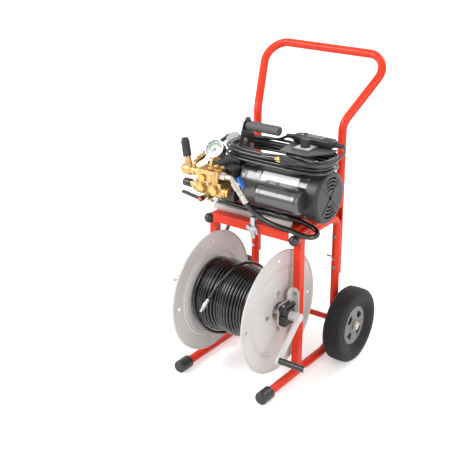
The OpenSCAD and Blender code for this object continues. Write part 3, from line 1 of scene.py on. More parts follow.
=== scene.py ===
import json
import math
import bmesh
import bpy
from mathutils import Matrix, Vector


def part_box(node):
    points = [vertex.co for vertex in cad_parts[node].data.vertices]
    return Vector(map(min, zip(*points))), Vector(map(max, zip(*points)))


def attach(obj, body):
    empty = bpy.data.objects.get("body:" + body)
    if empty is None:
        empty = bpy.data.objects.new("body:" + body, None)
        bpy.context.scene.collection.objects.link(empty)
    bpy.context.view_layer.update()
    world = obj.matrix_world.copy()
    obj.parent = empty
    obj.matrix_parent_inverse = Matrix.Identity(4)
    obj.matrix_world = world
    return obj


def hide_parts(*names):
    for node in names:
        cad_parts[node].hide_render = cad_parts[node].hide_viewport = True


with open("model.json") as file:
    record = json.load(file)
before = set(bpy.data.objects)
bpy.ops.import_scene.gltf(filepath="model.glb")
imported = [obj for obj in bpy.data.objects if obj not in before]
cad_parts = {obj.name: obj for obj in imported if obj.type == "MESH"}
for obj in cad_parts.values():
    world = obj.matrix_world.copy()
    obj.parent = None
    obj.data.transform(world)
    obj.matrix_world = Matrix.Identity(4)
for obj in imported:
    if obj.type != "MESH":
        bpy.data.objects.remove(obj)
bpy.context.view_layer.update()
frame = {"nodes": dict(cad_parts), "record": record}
scene = bpy.context.scene
cadNodes = frame["nodes"]
print("frame loaded:", len(cadNodes), "nodes")

cart = {"midX": -16.15, "reelY": -142.5, "reelZ": 255.0, "motorY": -40.0, "motorZ": 627.0,
        "wheelX": 237.0, "wheelY": 125.6, "wheelZ": 127.0}


def place(x, y, z):  # millimetres from the cart's middle plane to metres in the frame
    return Vector(((x + cart["midX"]) / 1000, y / 1000, z / 1000))


# camera at the photograph's angle
view = {"x": 1535.2, "y": -2290.0, "z": 1608.8, "yaw": 35.6, "pitch": -22.7,
        "lens": 72.24, "shiftX": -0.0304, "shiftY": -0.0033}
yaw, pitch = math.radians(view["yaw"]), math.radians(view["pitch"])
lookWay = Vector((-math.sin(yaw) * math.cos(pitch), math.cos(yaw) * math.cos(pitch), math.sin(pitch)))
lens = bpy.data.cameras.new("photoLens")
lens.sensor_width, lens.lens = 36.0, view["lens"]
lens.shift_x, lens.shift_y = view["shiftX"], view["shiftY"]
lens.clip_end = 50
eye = bpy.data.objects.new("photoCamera", lens)
scene.collection.objects.link(eye)
eye.location = place(view["x"], view["y"], view["z"])
eye.rotation_euler = lookWay.to_track_quat("-Z", "Y").to_euler()
scene.camera = eye
scene.view_settings.view_transform = "Standard"
print("camera set")


class Val:  # one socket, with the sums that the finishes use
    def __init__(self, finish, socket):
        self.finish, self.socket = finish, socket

    def sum(self, operation, a, b):
        return self.finish.add("ShaderNodeMath", {"operation": operation}, {0: a, 1: b})

    def __add__(self, other): return self.sum("ADD", self, other)
    def __radd__(self, other): return self.sum("ADD", other, self)
    def __sub__(self, other): return self.sum("SUBTRACT", self, other)
    def __rsub__(self, other): return self.sum("SUBTRACT", other, self)
    def __mul__(self, other): return self.sum("MULTIPLY", self, other)
    def __rmul__(self, other): return self.sum("MULTIPLY", other, self)


class Finish:  # one material, or the sky, and its nodes
    def __init__(self, name, sky=False, **fixed):
        self.mat = (bpy.data.worlds if sky else bpy.data.materials).new(name)
        self.mat.use_nodes = True
        self.tree = self.mat.node_tree
        self.shader = self.tree.nodes["Background" if sky else "Principled BSDF"]
        for key, value in fixed.items():
            self.feed(self.shader.inputs[key], value)

    def feed(self, socket, value):
        if isinstance(value, Val):
            self.tree.links.new(value.socket, socket)
        elif isinstance(value, (tuple, list)) and len(value) == 3 and socket.type == "RGBA":
            socket.default_value = (*value, 1.0)
        else:
            socket.default_value = value

    def add(self, kind, settings=None, sockets=None, out=0):
        node = self.tree.nodes.new(kind)
        for key, value in (settings or {}).items():
            if key == "stops":
                ramp = node.color_ramp
                while len(ramp.elements) < len(value):
                    ramp.elements.new(0.5)
                for element, (at, colour) in zip(ramp.elements, value):
                    element.position, element.color = at, (*colour, 1.0)
            else:
                setattr(node, key, value)
        for key, value in (sockets or {}).items():
            self.feed(node.inputs[key], value)
        return Val(self, node.outputs[out])

    def objectPlace(self):
        return self.add("ShaderNodeTexCoord", out="Object")

    def noise(self, scale, detail=3.0, rough=0.55, distortion=0.0):
        return self.add("ShaderNodeTexNoise", None, {"Vector": self.objectPlace(), "Scale": scale,
                        "Detail": detail, "Roughness": rough, "Distortion": distortion})

    def ramp(self, value, low, high):
        return self.add("ShaderNodeMapRange", {"clamp": True}, {"Value": value, "From Min": low, "From Max": high})

    def mix(self, amount, a, b):
        return self.add("ShaderNodeMix", {"data_type": "RGBA"}, {0: amount, 6: a, 7: b}, out=2)

    def bump(self, height, strength, distance):
        return self.add("ShaderNodeBump", None, {"Strength": strength, "Distance": distance, "Height": height})

    def set(self, **values):
        for key, value in values.items():
            self.feed(self.shader.inputs[key.replace("_", " ")], value)
        return self


def coated(name, colour, deep, rough=0.34, coat=0.35, peel=0.12, scuffs=0.0, shine=0.5):
    # sprayed coat: slow drift of tone, fine orange peel, and a little handling dust
    f = Finish(name, **{"Coat Weight": coat, "Coat Roughness": 0.1, "Specular IOR Level": shine})
    drift = f.ramp(f.noise(7.0, 2.0), 0.3, 0.7)
    dust = f.ramp(f.noise(38.0, 6.0, 0.7), 0.62, 0.9)
    tone = f.mix(drift, colour, deep)
    if scuffs:
        rub = f.ramp(f.noise(90.0, 8.0, 0.75, distortion=0.6), 0.7, 0.86) * scuffs
        tone = f.mix(rub, tone, tuple(c * 0.45 + 0.16 for c in colour))
    f.set(Base_Color=tone, Roughness=rough + dust * 0.12 + drift * 0.04,
          Normal=f.bump(f.noise(900.0, 2.0), peel, 0.0004))
    return f.mat


def rubbery(name, colour, pale, rough, grain, depth, shine=0.4):
    # rubber or foam with a dull bloom
    f = Finish(name, **{"Specular IOR Level": shine})
    bloom = f.ramp(f.noise(16.0, 5.0, 0.65), 0.45, 0.85)
    fine = f.noise(grain, 3.0, 0.6)
    f.set(Base_Color=f.mix(bloom * 0.5, colour, pale), Roughness=rough + bloom * 0.1 + fine * 0.06,
          Normal=f.bump(fine, depth, 0.0005))
    return f.mat


def hoseSkin(name, colour, pale, rough=0.2):
    # smooth extruded jacket with faint handling marks
    f = Finish(name, **{"Coat Weight": 0.45, "Coat Roughness": 0.08})
    marks = f.ramp(f.noise(60.0, 6.0, 0.7), 0.55, 0.9)
    f.set(Base_Color=f.mix(marks * 0.35, colour, pale), Roughness=rough + marks * 0.16,
          Normal=f.bump(f.noise(420.0, 2.0), 0.06, 0.0004))
    return f.mat


def moulded(name, colour, pale, rough, shine=0.5):
    # moulded plastic with a fine matt grain
    f = Finish(name, **{"Specular IOR Level": shine})
    cloud = f.ramp(f.noise(20.0, 4.0), 0.4, 0.8)
    f.set(Base_Color=f.mix(cloud * 0.4, colour, pale), Roughness=rough + cloud * 0.08,
          Normal=f.bump(f.noise(1200.0, 2.0), 0.12, 0.0003))
    return f.mat


def plated(name, colour, warm, rough=0.26, brush=0.1):
    # bright plate: a cool and a warm cast, and fine drawing lines
    f = Finish(name, Metallic=1.0)
    cast = f.ramp(f.noise(55.0, 4.0, 0.6), 0.35, 0.75)
    lines = f.noise(260.0, 5.0, 0.7)
    f.set(Base_Color=f.mix(cast, colour, warm), Roughness=rough + cast * 0.08 + lines * 0.08,
          Normal=f.bump(lines, brush, 0.0002))
    return f.mat


def castBrass(name, colour, deep, rough=0.3, sand=0.35):
    # forged brass: sandy skin, brown in the hollows of the grain
    f = Finish(name, Metallic=1.0)
    skin = f.noise(320.0, 5.0, 0.6)
    age = f.ramp(f.noise(34.0, 5.0, 0.65), 0.42, 0.8)
    f.set(Base_Color=f.mix(age * 0.7, colour, deep), Roughness=rough + age * 0.14 + skin * 0.08,
          Normal=f.bump(skin, sand, 0.0006))
    return f.mat


finishes = {
    "frame_red": coated("powderRed", (0.80, 0.050, 0.017), (0.74, 0.040, 0.014), 0.34, 0.1, 0.1, 0.04, 0.2),
    "reel_grey": coated("powderGrey", (0.65, 0.62, 0.605), (0.60, 0.575, 0.56), 0.36, 0.25, 0.08, 0.06),
    "base_grey": coated("railGrey", (0.67, 0.66, 0.65), (0.61, 0.60, 0.59), 0.4, 0.15, 0.08, 0.06),
    "motor_black": coated("motorBlack", (0.022, 0.022, 0.025), (0.015, 0.015, 0.018), 0.34, 0.95, 0.05, 0.0, 0.7),
    "pump_black": coated("crankcaseBlack", (0.012, 0.012, 0.014), (0.02, 0.02, 0.022), 0.4, 0.2, 0.3),
    "guard_black": coated("bracketBlack", (0.010, 0.010, 0.011), (0.016, 0.016, 0.017), 0.42, 0.15, 0.15, 0.05),
    "plate_grey": coated("plateGrey", (0.105, 0.10, 0.108), (0.09, 0.086, 0.093), 0.42, 0.2, 0.1),
    "hub_grey": coated("hubGrey", (0.155, 0.155, 0.16), (0.125, 0.125, 0.13), 0.32, 0.3, 0.08, 0.06),
    "cap_rubber": rubbery("capRubber", (0.020, 0.020, 0.022), (0.04, 0.04, 0.043), 0.32, 700.0, 0.1, 0.5),
    "grip_foam": rubbery("gripFoam", (0.105, 0.102, 0.109), (0.135, 0.132, 0.139), 0.6, 420.0, 0.4),
    "tyre": rubbery("tyreRubber", (0.018, 0.017, 0.018), (0.034, 0.033, 0.034), 0.5, 300.0, 0.2, 0.2),
    "bearing_black": moulded("bearingBlack", (0.018, 0.018, 0.020), (0.03, 0.03, 0.033), 0.42),
    "fan_plastic": moulded("fanCoverGrey", (0.026, 0.025, 0.028), (0.036, 0.035, 0.038), 0.32, shine=0.32),
    "knob_black": moulded("knobBlack", (0.018, 0.018, 0.020), (0.03, 0.03, 0.033), 0.32),
    "box_black": moulded("boxBlack", (0.012, 0.012, 0.013), (0.024, 0.024, 0.026), 0.36),
    "lever_blue": moulded("leverBlue", (0.012, 0.15, 0.62), (0.02, 0.2, 0.7), 0.35),
    "button_orange": moulded("buttonOrange", (0.82, 0.12, 0.02), (0.86, 0.18, 0.04), 0.35),
    "needle_black": moulded("needleBlack", (0.012, 0.012, 0.012), (0.02, 0.02, 0.02), 0.5),
    "hose_black": hoseSkin("hoseBlack", (0.006, 0.006, 0.007), (0.022, 0.022, 0.024)),
    "cord_black": hoseSkin("cordBlack", (0.014, 0.014, 0.015), (0.04, 0.04, 0.043), 0.36),
    "zinc": plated("zincPlate", (0.43, 0.455, 0.485), (0.45, 0.44, 0.40), 0.28),
    "steel": plated("turnedSteel", (0.56, 0.56, 0.58), (0.5, 0.49, 0.47), 0.34, 0.2),
    "valve_nickel": plated("nickelPlate", (0.54, 0.51, 0.48), (0.46, 0.42, 0.36), 0.3, 0.2),
    "gauge_steel": plated("gaugeSteel", (0.60, 0.60, 0.60), (0.54, 0.54, 0.54), 0.2, 0.05),
    "brass": castBrass("castBrass", (0.60, 0.39, 0.16), (0.42, 0.25, 0.085)),
    "plug_brass": castBrass("turnedBrass", (0.68, 0.46, 0.17), (0.56, 0.35, 0.11), 0.24, 0.1),
}
lensGlass = Finish("gaugeGlass", **{"Base Color": (0.97, 0.98, 0.98), "Roughness": 0.02, "Transmission Weight": 1.0,
                                    "IOR": 1.45, "Alpha": 0.25})
finishes["lens"] = lensGlass.mat
slotOf = {part["node"]: part["material_slot"] for part in frame["record"]["subparts"]}
for name, node in cadNodes.items():
    node.data.materials.clear()
    node.data.materials.append(finishes[slotOf[name]])
print("finishes on", len(slotOf), "nodes")


def smoothRoute(points, step=0.004):
    # a round curve through the route's points, in even short steps
    pts = [Vector(p) for p in points]
    dense = []
    for i in range(len(pts) - 1):
        a, b, c, d = pts[max(i - 1, 0)], pts[i], pts[i + 1], pts[min(i + 2, len(pts) - 1)]
        parts = max(2, round((c - b).length / step))
        for k in range(parts):
            t = k / parts
            dense.append(0.5 * (2 * b + (c - a) * t + (2 * a - 5 * b + 4 * c - d) * t * t
                                + (3 * b - a - 3 * c + d) * t ** 3))
    dense.append(pts[-1])
    return dense


def routeLength(points):
    return sum((b - a).length for a, b in zip(points, points[1:]))


def cordCurve(name, points, radius, finish, body="cart"):
    curve = bpy.data.curves.new(name, "CURVE")
    curve.dimensions = "3D"
    curve.bevel_depth, curve.bevel_resolution = radius, 3
    curve.use_fill_caps = True
    spline = curve.splines.new("POLY")
    spline.points.add(len(points) - 1)
    for point, place3 in zip(spline.points, points):
        point.co = (*place3, 1.0)
    spline.use_smooth = True
    piece = bpy.data.objects.new(name, curve)
    scene.collection.objects.link(piece)
    curve.materials.append(finish)
    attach(piece, body)
    return piece


# water hose from the valve, in a loop off the right of the platform and back along the base rail
waterHose = {"radius": 8.25, "route": [
    (8, -168, 624), (24, -168, 604.6), (38, -167, 589), (55, -163, 573), (76, -153, 556), (98, -138, 541),
    (122, -124, 531), (150, -115, 525), (178, -112, 518), (202, -107, 514), (218, -94, 512.5), (222, -77, 513.5),
    (213, -61, 517), (196, -54, 522.5), (178, -54, 528.5), (160, -58.5, 535), (142, -65, 540.5), (120, -70.5, 543.5),
    (90, -71, 543.5), (45, -71, 543.5), (0, -71, 543.5), (-60, -71, 543.5), (-115, -71, 544.5), (-135, -71, 545),
    (-150, -71, 545)]}
waterPath = smoothRoute([place(*p) for p in waterHose["route"]])
waterPiece = cordCurve("waterHose", waterPath, waterHose["radius"] / 1000, finishes["hose_black"])
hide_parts("inlet_hose")
round(routeLength(waterPath), 3)

# pressure hose from the pump outlet down to the reel's swivel
feedHose = {"radius": 7.0, "route": [
    (-173, -115, 707), (-173, -100, 711.1), (-172, -75, 718), (-170, -40, 728), (-168, 0, 736), (-169, 35, 736),
    (-174, 65, 722), (-182, 88, 690), (-189, 100, 645), (-194, 104, 595), (-197, 100, 545), (-198, 88, 495),
    (-198, 70, 450), (-199, 45, 408), (-204, 15, 368), (-213, -18, 330), (-225, -50, 299), (-239, -80, 274),
    (-247, -98, 261), (-250, -112, 255), (-250, -125, 255)]}
feedPath = smoothRoute([place(*p) for p in feedHose["route"]])
feedPiece = cordCurve("feedHose", feedPath, feedHose["radius"] / 1000, finishes["hose_black"])
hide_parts("feed_hose")
round(routeLength(feedPath), 3)

# power cord, wound in a long oval on the motor
coil = {"midX": 67, "midY": -40, "halfX": 182, "halfY": 82, "pitch": 11.5, "layer": 11.1, "low": 714, "turns": 7.36,
        "startDeg": -120, "round": 0.6, "rings": 24, "radius": 4.75, "pushY": 26, "pushX": 140, "pushHalf": 95,
        "climbs": (1.75, 3.75, 5.75),
        "start": [(84, -50, 714), (74, -50, 714), (54, -55, 714), (34, -66, 714), (15, -78, 714), (-6, -87, 714)],
        "end": [(10, 27, 753), (35, 28.5, 764), (52, 28, 770), (62, 28, 770)]}


def within(value):
    return min(1.0, max(0.0, value))


def hump(x, middle, half):
    return (1 + math.cos(math.pi * (x - middle) / half)) / 2 if abs(x - middle) < half else 0.0


def coilPoint(t):
    turn = math.radians(coil["startDeg"] - 360 * t)
    inset = coil["pitch"] * abs(t % 4 - 2)
    climb = coil["layer"] * sum(within((t - at) * 2) for at in coil["climbs"])
    c, s = math.cos(turn), math.sin(turn)
    x = coil["midX"] + (coil["halfX"] - inset) * math.copysign(abs(c) ** coil["round"], c)
    y = coil["midY"] + (coil["halfY"] - inset) * math.copysign(abs(s) ** coil["round"], s)
    if s < 0:
        y += coil["pushY"] * within(climb / coil["layer"] - 1) * hump(x, coil["pushX"], coil["pushHalf"])
    return x, y, coil["low"] + climb


coilSteps = math.floor(coil["turns"] * coil["rings"])
coilRoute = coil["start"] + [coilPoint(i / coil["rings"]) for i in range(coilSteps + 1)] + coil["end"]
coilPath = smoothRoute([place(*p) for p in coilRoute])
coilPiece = cordCurve("powerCord", coilPath, coil["radius"] / 1000, finishes["cord_black"])
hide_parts("power_cord")
round(routeLength(coilPath), 3)

plugLead = {"radius": 4.75, "route": [
    (222, 28, 770), (234, 28, 770), (248, 22, 768), (258, 8, 764), (262, -12, 759), (262, -36, 753),
    (260, -60, 748), (252, -84, 745), (238, -104, 744), (220, -117, 744), (202, -122, 745), (184, -122, 745)]}
leadPath = smoothRoute([place(*p) for p in plugLead["route"]])
leadPiece = cordCurve("plugLead", leadPath, plugLead["radius"] / 1000, finishes["cord_black"])
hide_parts("plug_lead")
round(routeLength(leadPath), 3)
print("cords laid")

# jet hose, its outer layer wound on the drum and its tail laid across it
jetHose = {"radius": 5.0, "turns": 21, "pitch": 10.9, "lay": 104.0, "rings": 24, "tailTurns": 1.29, "lift": 12.8,
           "liftTurns": 0.3, "rise": 3.5, "farX": 11.0, "endX": -49.0, "endDeg": -22,
           "crossStart": 0.25, "crossEnd": 0.6, "riseStart": 0.8, "lead": 0.01, "step": 0.008,
           "humps": [(-78, 46, 11), (2, 44, 8)]}


def ease(s):
    c = within(s)
    return c * c * (3 - 2 * c)


def layRadius(x):
    return jetHose["lay"] + sum(h * hump(x, middle, half) for middle, half, h in jetHose["humps"])


def windPoint(t):
    # s runs from 0 to 1 along the tail, which crosses the winding and then swings back
    halfWide = jetHose["pitch"] * jetHose["turns"] / 2
    s = (t - jetHose["turns"]) / jetHose["tailTurns"]
    crossStart, crossEnd, riseStart = jetHose["crossStart"], jetHose["crossEnd"], jetHose["riseStart"]
    if s <= 0:
        x = halfWide - jetHose["pitch"] * t
    elif s < crossEnd:
        x = -halfWide + (jetHose["farX"] + halfWide) * ease((s - crossStart) / (crossEnd - crossStart))
    else:
        x = jetHose["farX"] + (jetHose["endX"] - jetHose["farX"]) * ((s - crossEnd) / (1 - crossEnd)) ** 2
    lifted = ease((t - jetHose["turns"] + jetHose["liftTurns"]) / (2 * jetHose["liftTurns"]))
    r = layRadius(x) + jetHose["lift"] * lifted + jetHose["rise"] * ease((s - riseStart) / (1 - riseStart))
    turn = math.radians(360 * (t - jetHose["turns"] - jetHose["tailTurns"]) + jetHose["endDeg"])
    return x, cart["reelY"] - r * math.cos(turn), cart["reelZ"] - r * math.sin(turn)


windTotal = jetHose["turns"] + jetHose["tailTurns"]
windSteps = math.floor(windTotal * jetHose["rings"])
windRoute = [place(*windPoint(windTotal - (windSteps - i) / jetHose["rings"])) for i in range(windSteps + 1)]
windHead = (windRoute[0] - windRoute[1]).normalized() * jetHose["lead"]
windTail = (windRoute[-1] - windRoute[-2]).normalized() * jetHose["lead"]
windPath = smoothRoute([windRoute[0] + windHead] + windRoute + [windRoute[-1] + windTail], jetHose["step"])
windPiece = cordCurve("jetHoseWinding", windPath, jetHose["radius"] / 1000, finishes["hose_black"], "reel")
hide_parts("hose_winding")
print("jet hose wound:", round(routeLength(windPath), 2), "m in the outer layer")


def eased(profile, radius, parts=3):  # rounds a profile's corners, its ends stay
    out = [tuple(profile[0])]
    for a, b, c in zip(profile, profile[1:], profile[2:]):
        a, b, c = Vector(a), Vector(b), Vector(c)
        cut = min(radius, (b - a).length * 0.45, (c - b).length * 0.45)
        p, q = b + (a - b).normalized() * cut, b + (c - b).normalized() * cut
        for k in range(parts + 1):
            t = k / parts
            out.append(tuple(p * (1 - t) ** 2 + b * 2 * t * (1 - t) + q * t * t))
    return out + [tuple(profile[-1])]


def addTurned(bm, profile, axis, centre, steps=40, arc=360.0, first=None):
    # a profile of (radius, along) in millimetres, spun about an axis through centre
    # one whose ends are off the axis makes a closed ring
    axis = Vector(axis).normalized()
    side = Vector(first).normalized() if first else axis.orthogonal().normalized()
    mid = place(*centre)
    verts = [bm.verts.new(mid + (axis * a + side * r) / 1000) for r, a in profile]
    ring = profile[0][0] > 0 or profile[-1][0] > 0
    edges = [bm.edges.new(pair) for pair in zip(verts, verts[1:] + (verts[:1] if ring else []))]
    whole = arc == 360.0
    faces = [] if whole else [bm.faces.new(verts)]
    bmesh.ops.spin(bm, geom=verts + edges + faces, cent=mid, axis=axis, dvec=(0, 0, 0), angle=math.radians(arc),
                   steps=steps, use_merge=whole, use_duplicate=False)


def addBox(bm, low, high, soft, segments=3, slim=None):
    # a block with rounded edges; slim narrows one end along an axis
    made = bmesh.ops.create_cube(bm, size=1.0)["verts"]
    a, b = place(*low), place(*high)
    bmesh.ops.scale(bm, vec=b - a, verts=made)
    if slim:
        along, share, end = slim
        bmesh.ops.scale(bm, vec=[1.0 if i == along else share for i in range(3)],
                        verts=[v for v in made if v.co[along] * end > 0])
    bmesh.ops.translate(bm, vec=(a + b) / 2, verts=made)
    edges = list({e for v in made for e in v.link_edges})
    bmesh.ops.bevel(bm, geom=edges, offset=soft / 1000, offset_type="OFFSET", segments=segments, profile=0.5,
                    affect="EDGES", material=-1, clamp_overlap=True)


def addBolt(bm, at, axis, radius, height, socket=0.0, sides=6):
    # a hexagon or round head with a chamfer, and a socket where it has one
    c = min(radius, height) * 0.15
    inner = [(0, height * 0.45), (socket, height * 0.45), (socket, height)] if socket else [(0, height)]
    addTurned(bm, inner + [(radius - c, height), (radius, height - c), (radius, -0.5), (0, -0.5)], axis, at, sides)


def finished(bm, name, slot, body="cart", stands=(), finish=None, smoothDeg=38, merge=True):
    if merge:
        bmesh.ops.remove_doubles(bm, verts=bm.verts, dist=2e-6)
        bmesh.ops.recalc_face_normals(bm, faces=bm.faces)
    mesh = bpy.data.meshes.new(name)
    bm.to_mesh(mesh)
    bm.free()
    mesh.polygons.foreach_set("use_smooth", [True] * len(mesh.polygons))
    mesh.set_sharp_from_angle(angle=math.radians(smoothDeg))
    mesh.materials.append(finish or finishes[slot])
    piece = bpy.data.objects.new(name, mesh)
    scene.collection.objects.link(piece)
    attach(piece, body)
    if stands:
        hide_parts(*stands)
    return piece


bodyOf = {node: body for body, nodes in frame["record"]["behaviour"]["bodies"].items() for node in nodes}


def softened(node, width, segments=2, angle=32):
    # a merged copy of a hard CAD solid with its edges broken
    bm = bmesh.new()
    bm.from_mesh(cadNodes[node].data)
    bmesh.ops.remove_doubles(bm, verts=bm.verts, dist=4e-6)
    bmesh.ops.dissolve_limit(bm, angle_limit=math.radians(0.6), verts=bm.verts, edges=bm.edges)
    words = node.split("_")
    name = words[0] + "".join(w.capitalize() for w in words[1:]) + "Softened"
    piece = finished(bm, name, slotOf[node], bodyOf[node], (node,), smoothDeg=angle, merge=False)
    broken = piece.modifiers.new("brokenEdges", "BEVEL")
    broken.width, broken.segments, broken.limit_method = width / 1000, segments, "ANGLE"
    broken.angle_limit, broken.profile = math.radians(angle), 0.5
    return piece


softEdges = {"front_crossbar": 1.2, "platform_tray": 1.0, "motor_base": 1.5, "reel_brackets": 0.8,
             "crankcase": 1.6, "carry_bracket": 1.2, "switch_box": 2.5,
             "switch_plate": 0.8, "latch_base": 0.8, "latch_wing": 1.2, "latch_hook": 0.7, "frame_struts": 1.0,
             "crank_arm": 1.4, "crank_grip": 1.6, "valve_lever": 1.2, "pulse_lever": 1.8, "switch_knob": 1.4,
             "pulse_button": 1.2, "head_plugs": 0.9, "hose_tip": 0.7, "reel_swivel": 1.0, "inlet_hose_end": 1.0,
             "inlet_valve": 0.9, "pressure_regulator": 1.2, "gauge_case": 0.9, "axle": 1.2, "zinc_hardware": 0.5,
             "flange_bolts": 0.8, "capacitor_cover": 1.5, "left_hub": 1.4, "right_hub": 1.4}
for node, width in softEdges.items():
    softened(node, width)
print("edges broken on", len(softEdges), "hard pieces")

# inner turns of the jet hose, seen between the outer ones
pack = {"half": 124.0, "parts": 138, "under": 6.5, "ridge": 0.9, "drum": 75.2}
packProfile = [(pack["drum"], -pack["half"])]
for i in range(pack["parts"] + 1):
    x = pack["half"] * (2 * i / pack["parts"] - 1)
    ridge = pack["ridge"] * abs(math.sin(math.pi * x / jetHose["pitch"]))
    packProfile.append((layRadius(x) - pack["under"] + ridge, x))
packProfile.append((pack["drum"], pack["half"]))
bm = bmesh.new()
addTurned(bm, packProfile, (1, 0, 0), (0, cart["reelY"], cart["reelZ"]), 72)
finished(bm, "hosePack", "hose_black", "reel", ("hose_core",), smoothDeg=60)

# pressed beads on the flanges
beads = {"radii": (138.0, 147.0), "section": 2.6, "mids": (126.0, 127.0)}
bm = bmesh.new()
for side in (-1, 1):
    for r, mid in zip(beads["radii"], beads["mids"]):
        ring = [(r + beads["section"] * math.cos(math.radians(a)), side * mid
                 + beads["section"] * math.sin(math.radians(a))) for a in range(0, 360, 30)]
        addTurned(bm, ring, (1, 0, 0), (0, cart["reelY"], cart["reelZ"]), 120)
finished(bm, "flangeBeads", "reel_grey", "reel")
print("reel dressed")

# solid tyres with soft ribs, a moulded ring on the wall and a dish down to the hub
tyre = {"radius": 127.0, "half": 34.0, "grooves": (-20, -10, 0, 10, 20), "deep": 2.4, "crown": 2.4, "bore": 66.15}
tread = [(119.5, -31.5)]
for g in tyre["grooves"]:
    crown = tyre["radius"] - tyre["crown"] * (g / tyre["half"]) ** 2
    tread += [(crown, g - 3.2), (crown - tyre["deep"], g - 1.3), (crown - tyre["deep"], g + 1.3), (crown, g + 3.2)]
tread += [(119.5, 31.5)]
wallOut = [(112, 33.5), (101, 34), (96.5, 33.4), (95.5, 34.4), (92.5, 34.4), (91.2, 33.0), (88.5, 32.4), (74, 24.6),
           (69, 21.6), (tyre["bore"], 20.9)]
wallIn = [(r, -a) for r, a in reversed(wallOut)]
tyreLoop = eased(wallIn + tread + wallOut, 1.8, 3)
hubCone = eased([(20.5, 19.0), (30.5, 19.2), (27.0, 20.2), (23.6, 21.4), (22.3, 22.3), (20.5, 22.3)], 0.6, 2)
axleCap = eased([(8.9, 24.6), (13.4, 24.6), (13.4, 29.6), (11.8, 31.2), (9.6, 31.2), (8.9, 30.2)], 0.7, 3)
for side, word in ((1, "right"), (-1, "left")):
    centre = (side * cart["wheelX"], cart["wheelY"], cart["wheelZ"])
    bm = bmesh.new()
    addTurned(bm, tyreLoop, (side, 0, 0), centre, 120)
    finished(bm, word + "TyreRibbed", "tyre", word + "_wheel", (word + "_tyre",), smoothDeg=50)
    bm = bmesh.new()
    addTurned(bm, hubCone, (side, 0, 0), centre, 64)
    finished(bm, word + "HubCone", "hub_grey", word + "_wheel", smoothDeg=50)
yellowZinc = plated("yellowZinc", (0.78, 0.60, 0.22), (0.60, 0.62, 0.50), 0.28)
bm = bmesh.new()
for side in (-1, 1):
    addTurned(bm, axleCap, (side, 0, 0), (side * cart["wheelX"], cart["wheelY"], cart["wheelZ"]), 48)
finished(bm, "axleCaps", "zinc", finish=yellowZinc)
print("wheels dressed")

# motor: end rings, and bare plates bent round the shell
motor = {"rings": ((-27.0, -20.2, 80.9), (-19.8, -15.0, 80.9), (193.0, 199.6, 81.2)), "plateDeg": 38, "shell": 79.6}
motorAt = (0, cart["motorY"], cart["motorZ"])
bm = bmesh.new()
for x0, x1, r in motor["rings"]:
    ring = eased([(r - 1.6, x0), (r - 0.6, x0), (r, x0 + 0.8), (r, x1 - 0.8), (r - 0.6, x1), (r - 1.6, x1)], 0.4, 2)
    addTurned(bm, ring, (1, 0, 0), motorAt, 96)
finished(bm, "motorRings", "motor_black")
plateWhite = coated("plateWhite", (0.80, 0.80, 0.79), (0.70, 0.70, 0.70), 0.4, 0.1, 0.05, 0.05)
plateDark = plated("plateDark", (0.30, 0.30, 0.31), (0.22, 0.22, 0.22), 0.45)
shellPlates = (("namePlateBack", 35.5, 171.5, 23.5, 80.7, "motor_black", None),
               ("namePlate", 38, 168, 21, 81.3, "plate_grey", plateWhite),
               ("ratingPlateBack", 15.5, 34.5, 22, 80.6, "motor_black", None),
               ("ratingPlate", 17.5, 32.5, 18.5, 81.0, "plate_grey", plateDark))
for name, x0, x1, arc, high, slot, finish in shellPlates:
    low = math.radians(motor["plateDeg"] - arc / 2)
    bm = bmesh.new()
    sheet = [(motor["shell"], -x1), (high, -x1), (high, -x0), (motor["shell"], -x0)]
    addTurned(bm, sheet, (-1, 0, 0), motorAt, 14, arc=arc, first=(0, -math.cos(low), math.sin(low)))
    finished(bm, name, slot, finish=finish)
print("motor dressed")

# pressure gauge: white dial with a green sector, a red mark and plain ticks
gauge = {"at": (-106, -155, 749), "tilt": 49, "turn": -83, "face": -8.7, "green": (35, 140), "red": (54, 14),
         "band": (16, 21), "ticks": 11, "tickStart": 136, "tickStep": 27}
tilt, turn = math.radians(gauge["tilt"]), math.radians(gauge["turn"])
gaugeOut = Vector((math.sin(tilt) * math.cos(turn), math.sin(tilt) * math.sin(turn), math.cos(tilt)))
gaugeUp = -Vector((math.cos(tilt) * math.cos(turn), math.cos(tilt) * math.sin(turn), -math.sin(tilt)))
gaugeRight = gaugeUp.cross(gaugeOut)


def dialWay(deg):  # a clock hand's way, clockwise from the top
    return gaugeUp * math.cos(math.radians(deg)) + gaugeRight * math.sin(math.radians(deg))


face = gauge["face"]
bm = bmesh.new()
disc = [(0, face), (27.0, face), (27.4, face - 0.1), (27.4, face - 0.4), (0, face - 0.4)]
addTurned(bm, disc, gaugeOut, gauge["at"], 48)
finished(bm, "dialFace", "plate_grey", finish=plateWhite)
dialGreen = moulded("dialGreen", (0.05, 0.36, 0.10), (0.08, 0.42, 0.14), 0.5)
dialRed = moulded("dialRed", (0.62, 0.03, 0.03), (0.66, 0.06, 0.05), 0.5)
r0, r1 = gauge["band"]
dialArcs = (("dialGreenArc", gauge["green"], dialGreen), ("dialRedArc", gauge["red"], dialRed))
for name, (start, arc), finish in dialArcs:
    bm = bmesh.new()
    band = [(r0, face - 0.05), (r1, face - 0.05), (r1, face + 0.08), (r0, face + 0.08)]
    addTurned(bm, band, gaugeOut, gauge["at"], 24, arc=arc, first=dialWay(start))
    finished(bm, name, "needle_black", finish=finish)
bm = bmesh.new()
tick = [(22, face - 0.05), (26, face - 0.05), (26, face + 0.1), (22, face + 0.1)]
for i in range(gauge["ticks"]):
    way = dialWay(gauge["tickStart"] - gauge["tickStep"] * i)
    addTurned(bm, tick, gaugeOut, gauge["at"], 1, arc=2.2, first=way)
finished(bm, "dialTicks", "needle_black")
print("gauge dressed")

